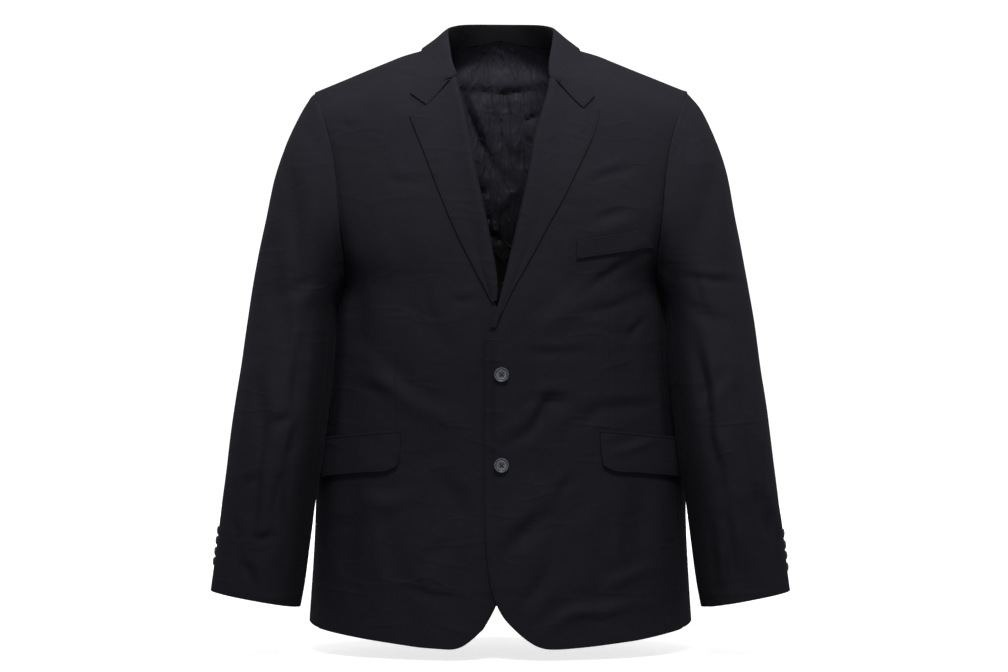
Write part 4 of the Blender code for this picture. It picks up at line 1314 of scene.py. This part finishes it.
# Name, place, aim, width, height and power
LAMPS = (
    ("key", (0.18, -1.7, 1.85), (0.0, -0.05, -0.36), 1.0, 0.6, 40.0),
    ("behind", (0.0, 2.8, 0.1), (0.0, 0.0, -0.35), 1.6, 1.2, 22.0),
    ("top", (0.0, 0.5, 1.9), (0.0, 0.0, -0.2), 1.6, 1.0, 9.0),
    ("left rim", (-2.4, 0.3, 0.3), (0.0, 0.0, -0.35), 0.7, 2.0, 5.0),
    ("right rim", (2.4, 0.3, 0.3), (0.0, 0.0, -0.35), 0.7, 2.0, 5.0),
    ("catch", (0.0, -3.45, -0.70), (0.0, 0.0, -0.50), 0.4, 0.14, 10.0),
)


class JACKET_OT_stage(bpy.types.Operator):
    """Pale floor and backdrop, soft lights and the camera"""
    bl_idname = "jacket.stage"
    bl_label = "Stage"

    def execute(self, context):
        scene = context.scene
        scene.view_settings.view_transform = "Standard"
        profile = [(0.4 + 5.2 * k / 8, FLOOR) for k in range(9)]
        for k in range(1, 9):
            a = math.pi / 2 * k / 8
            profile.append((FLOOR_EDGE + FLOOR_BEND * math.sin(a), FLOOR + FLOOR_BEND * (1 - math.cos(a))))
        profile.append((FLOOR_EDGE + FLOOR_BEND, WALL_TOP))
        verts = [(0.0, 0.0, FLOOR)]
        faces = []
        for radius, z in profile:
            for k in range(TURNS):
                a = 2 * math.pi * k / TURNS
                verts.append((radius * math.cos(a), radius * math.sin(a), z))
        for k in range(TURNS):
            n = (k + 1) % TURNS
            faces.append((0, 1 + k, 1 + n))
            for i in range(len(profile) - 1):
                a = 1 + i * TURNS
                b = a + TURNS
                faces.append((a + k, b + k, b + n, a + n))
        mesh = bpy.data.meshes.new("backdrop")
        mesh.from_pydata(verts, [], faces)
        mesh.materials.append(material("pale paper", colours().floor, build_paper))
        mesh.shade_smooth()
        backdrop = link("backdrop", mesh)
        backdrop.visible_diffuse = False
        backdrop.visible_glossy = False

        world = bpy.data.worlds.new("soft room")
        world.use_nodes = True
        sky = world.node_tree.nodes["Background"]
        sky.inputs["Color"].default_value = (1.0, 1.0, 1.0, 1.0)
        sky.inputs["Strength"].default_value = WORLD_LIGHT
        scene.world = world
        for name, place, aim, width, height, power in LAMPS:
            data = bpy.data.lights.new(name, "AREA")
            data.shape = "RECTANGLE"
            data.size = width
            data.size_y = height
            data.energy = power
            lamp = link(name, data)
            lamp.location = place
            lamp.rotation_euler = (Vector(aim) - Vector(place)).to_track_quat("-Z", "Y").to_euler()

        data = bpy.data.cameras.new("camera")
        data.sensor_fit = "HORIZONTAL"
        data.sensor_width = 36.0
        data.lens = CAMERA_LENS
        camera = link("camera", data)
        camera.location = CAMERA_PLACE
        camera.rotation_euler = (math.pi / 2, 0.0, 0.0)
        scene.camera = camera
        return {"FINISHED"}


class JACKET_PT_sidebar(bpy.types.Panel):
    """Sizes, colours and the pieces of the jacket"""
    bl_idname = "JACKET_PT_sidebar"
    bl_label = "Suit jacket"
    bl_space_type = "VIEW_3D"
    bl_region_type = "UI"
    bl_category = "Jacket"

    def draw(self, context):
        layout = self.layout
        for group in (context.scene.jacket_sizes, context.scene.jacket_colours):
            column = layout.column()
            for name in group.__annotations__:
                column.prop(group, name)
        for operator in PIECES:
            layout.operator(operator.bl_idname)


PIECES = (JACKET_OT_panels, JACKET_OT_lining, JACKET_OT_sleeves, JACKET_OT_collar, JACKET_OT_pockets,
          JACKET_OT_buttons, JACKET_OT_stage)
CLASSES = (JacketSizes, JacketColours) + PIECES + (JACKET_PT_sidebar,)


def register():
    for cls in CLASSES:
        bpy.utils.register_class(cls)
    bpy.types.Scene.jacket_sizes = PointerProperty(type=JacketSizes)
    bpy.types.Scene.jacket_colours = PointerProperty(type=JacketColours)


def unregister():
    del bpy.types.Scene.jacket_colours
    del bpy.types.Scene.jacket_sizes
    for cls in reversed(CLASSES):
        bpy.utils.unregister_class(cls)


def main():
    register()
    for obj in list(bpy.data.objects):
        if obj.type in ("LIGHT", "CAMERA") or obj.name == "Cube":
            bpy.data.objects.remove(obj, do_unlink=True)
    bpy.ops.jacket.panels()
    bpy.ops.jacket.lining()
    bpy.ops.jacket.sleeves()
    bpy.ops.jacket.collar()
    bpy.ops.jacket.pockets()
    bpy.ops.jacket.buttons()
    bpy.ops.jacket.stage()
    bpy.context.view_layer.update()


if __name__ == "__main__":
    main()
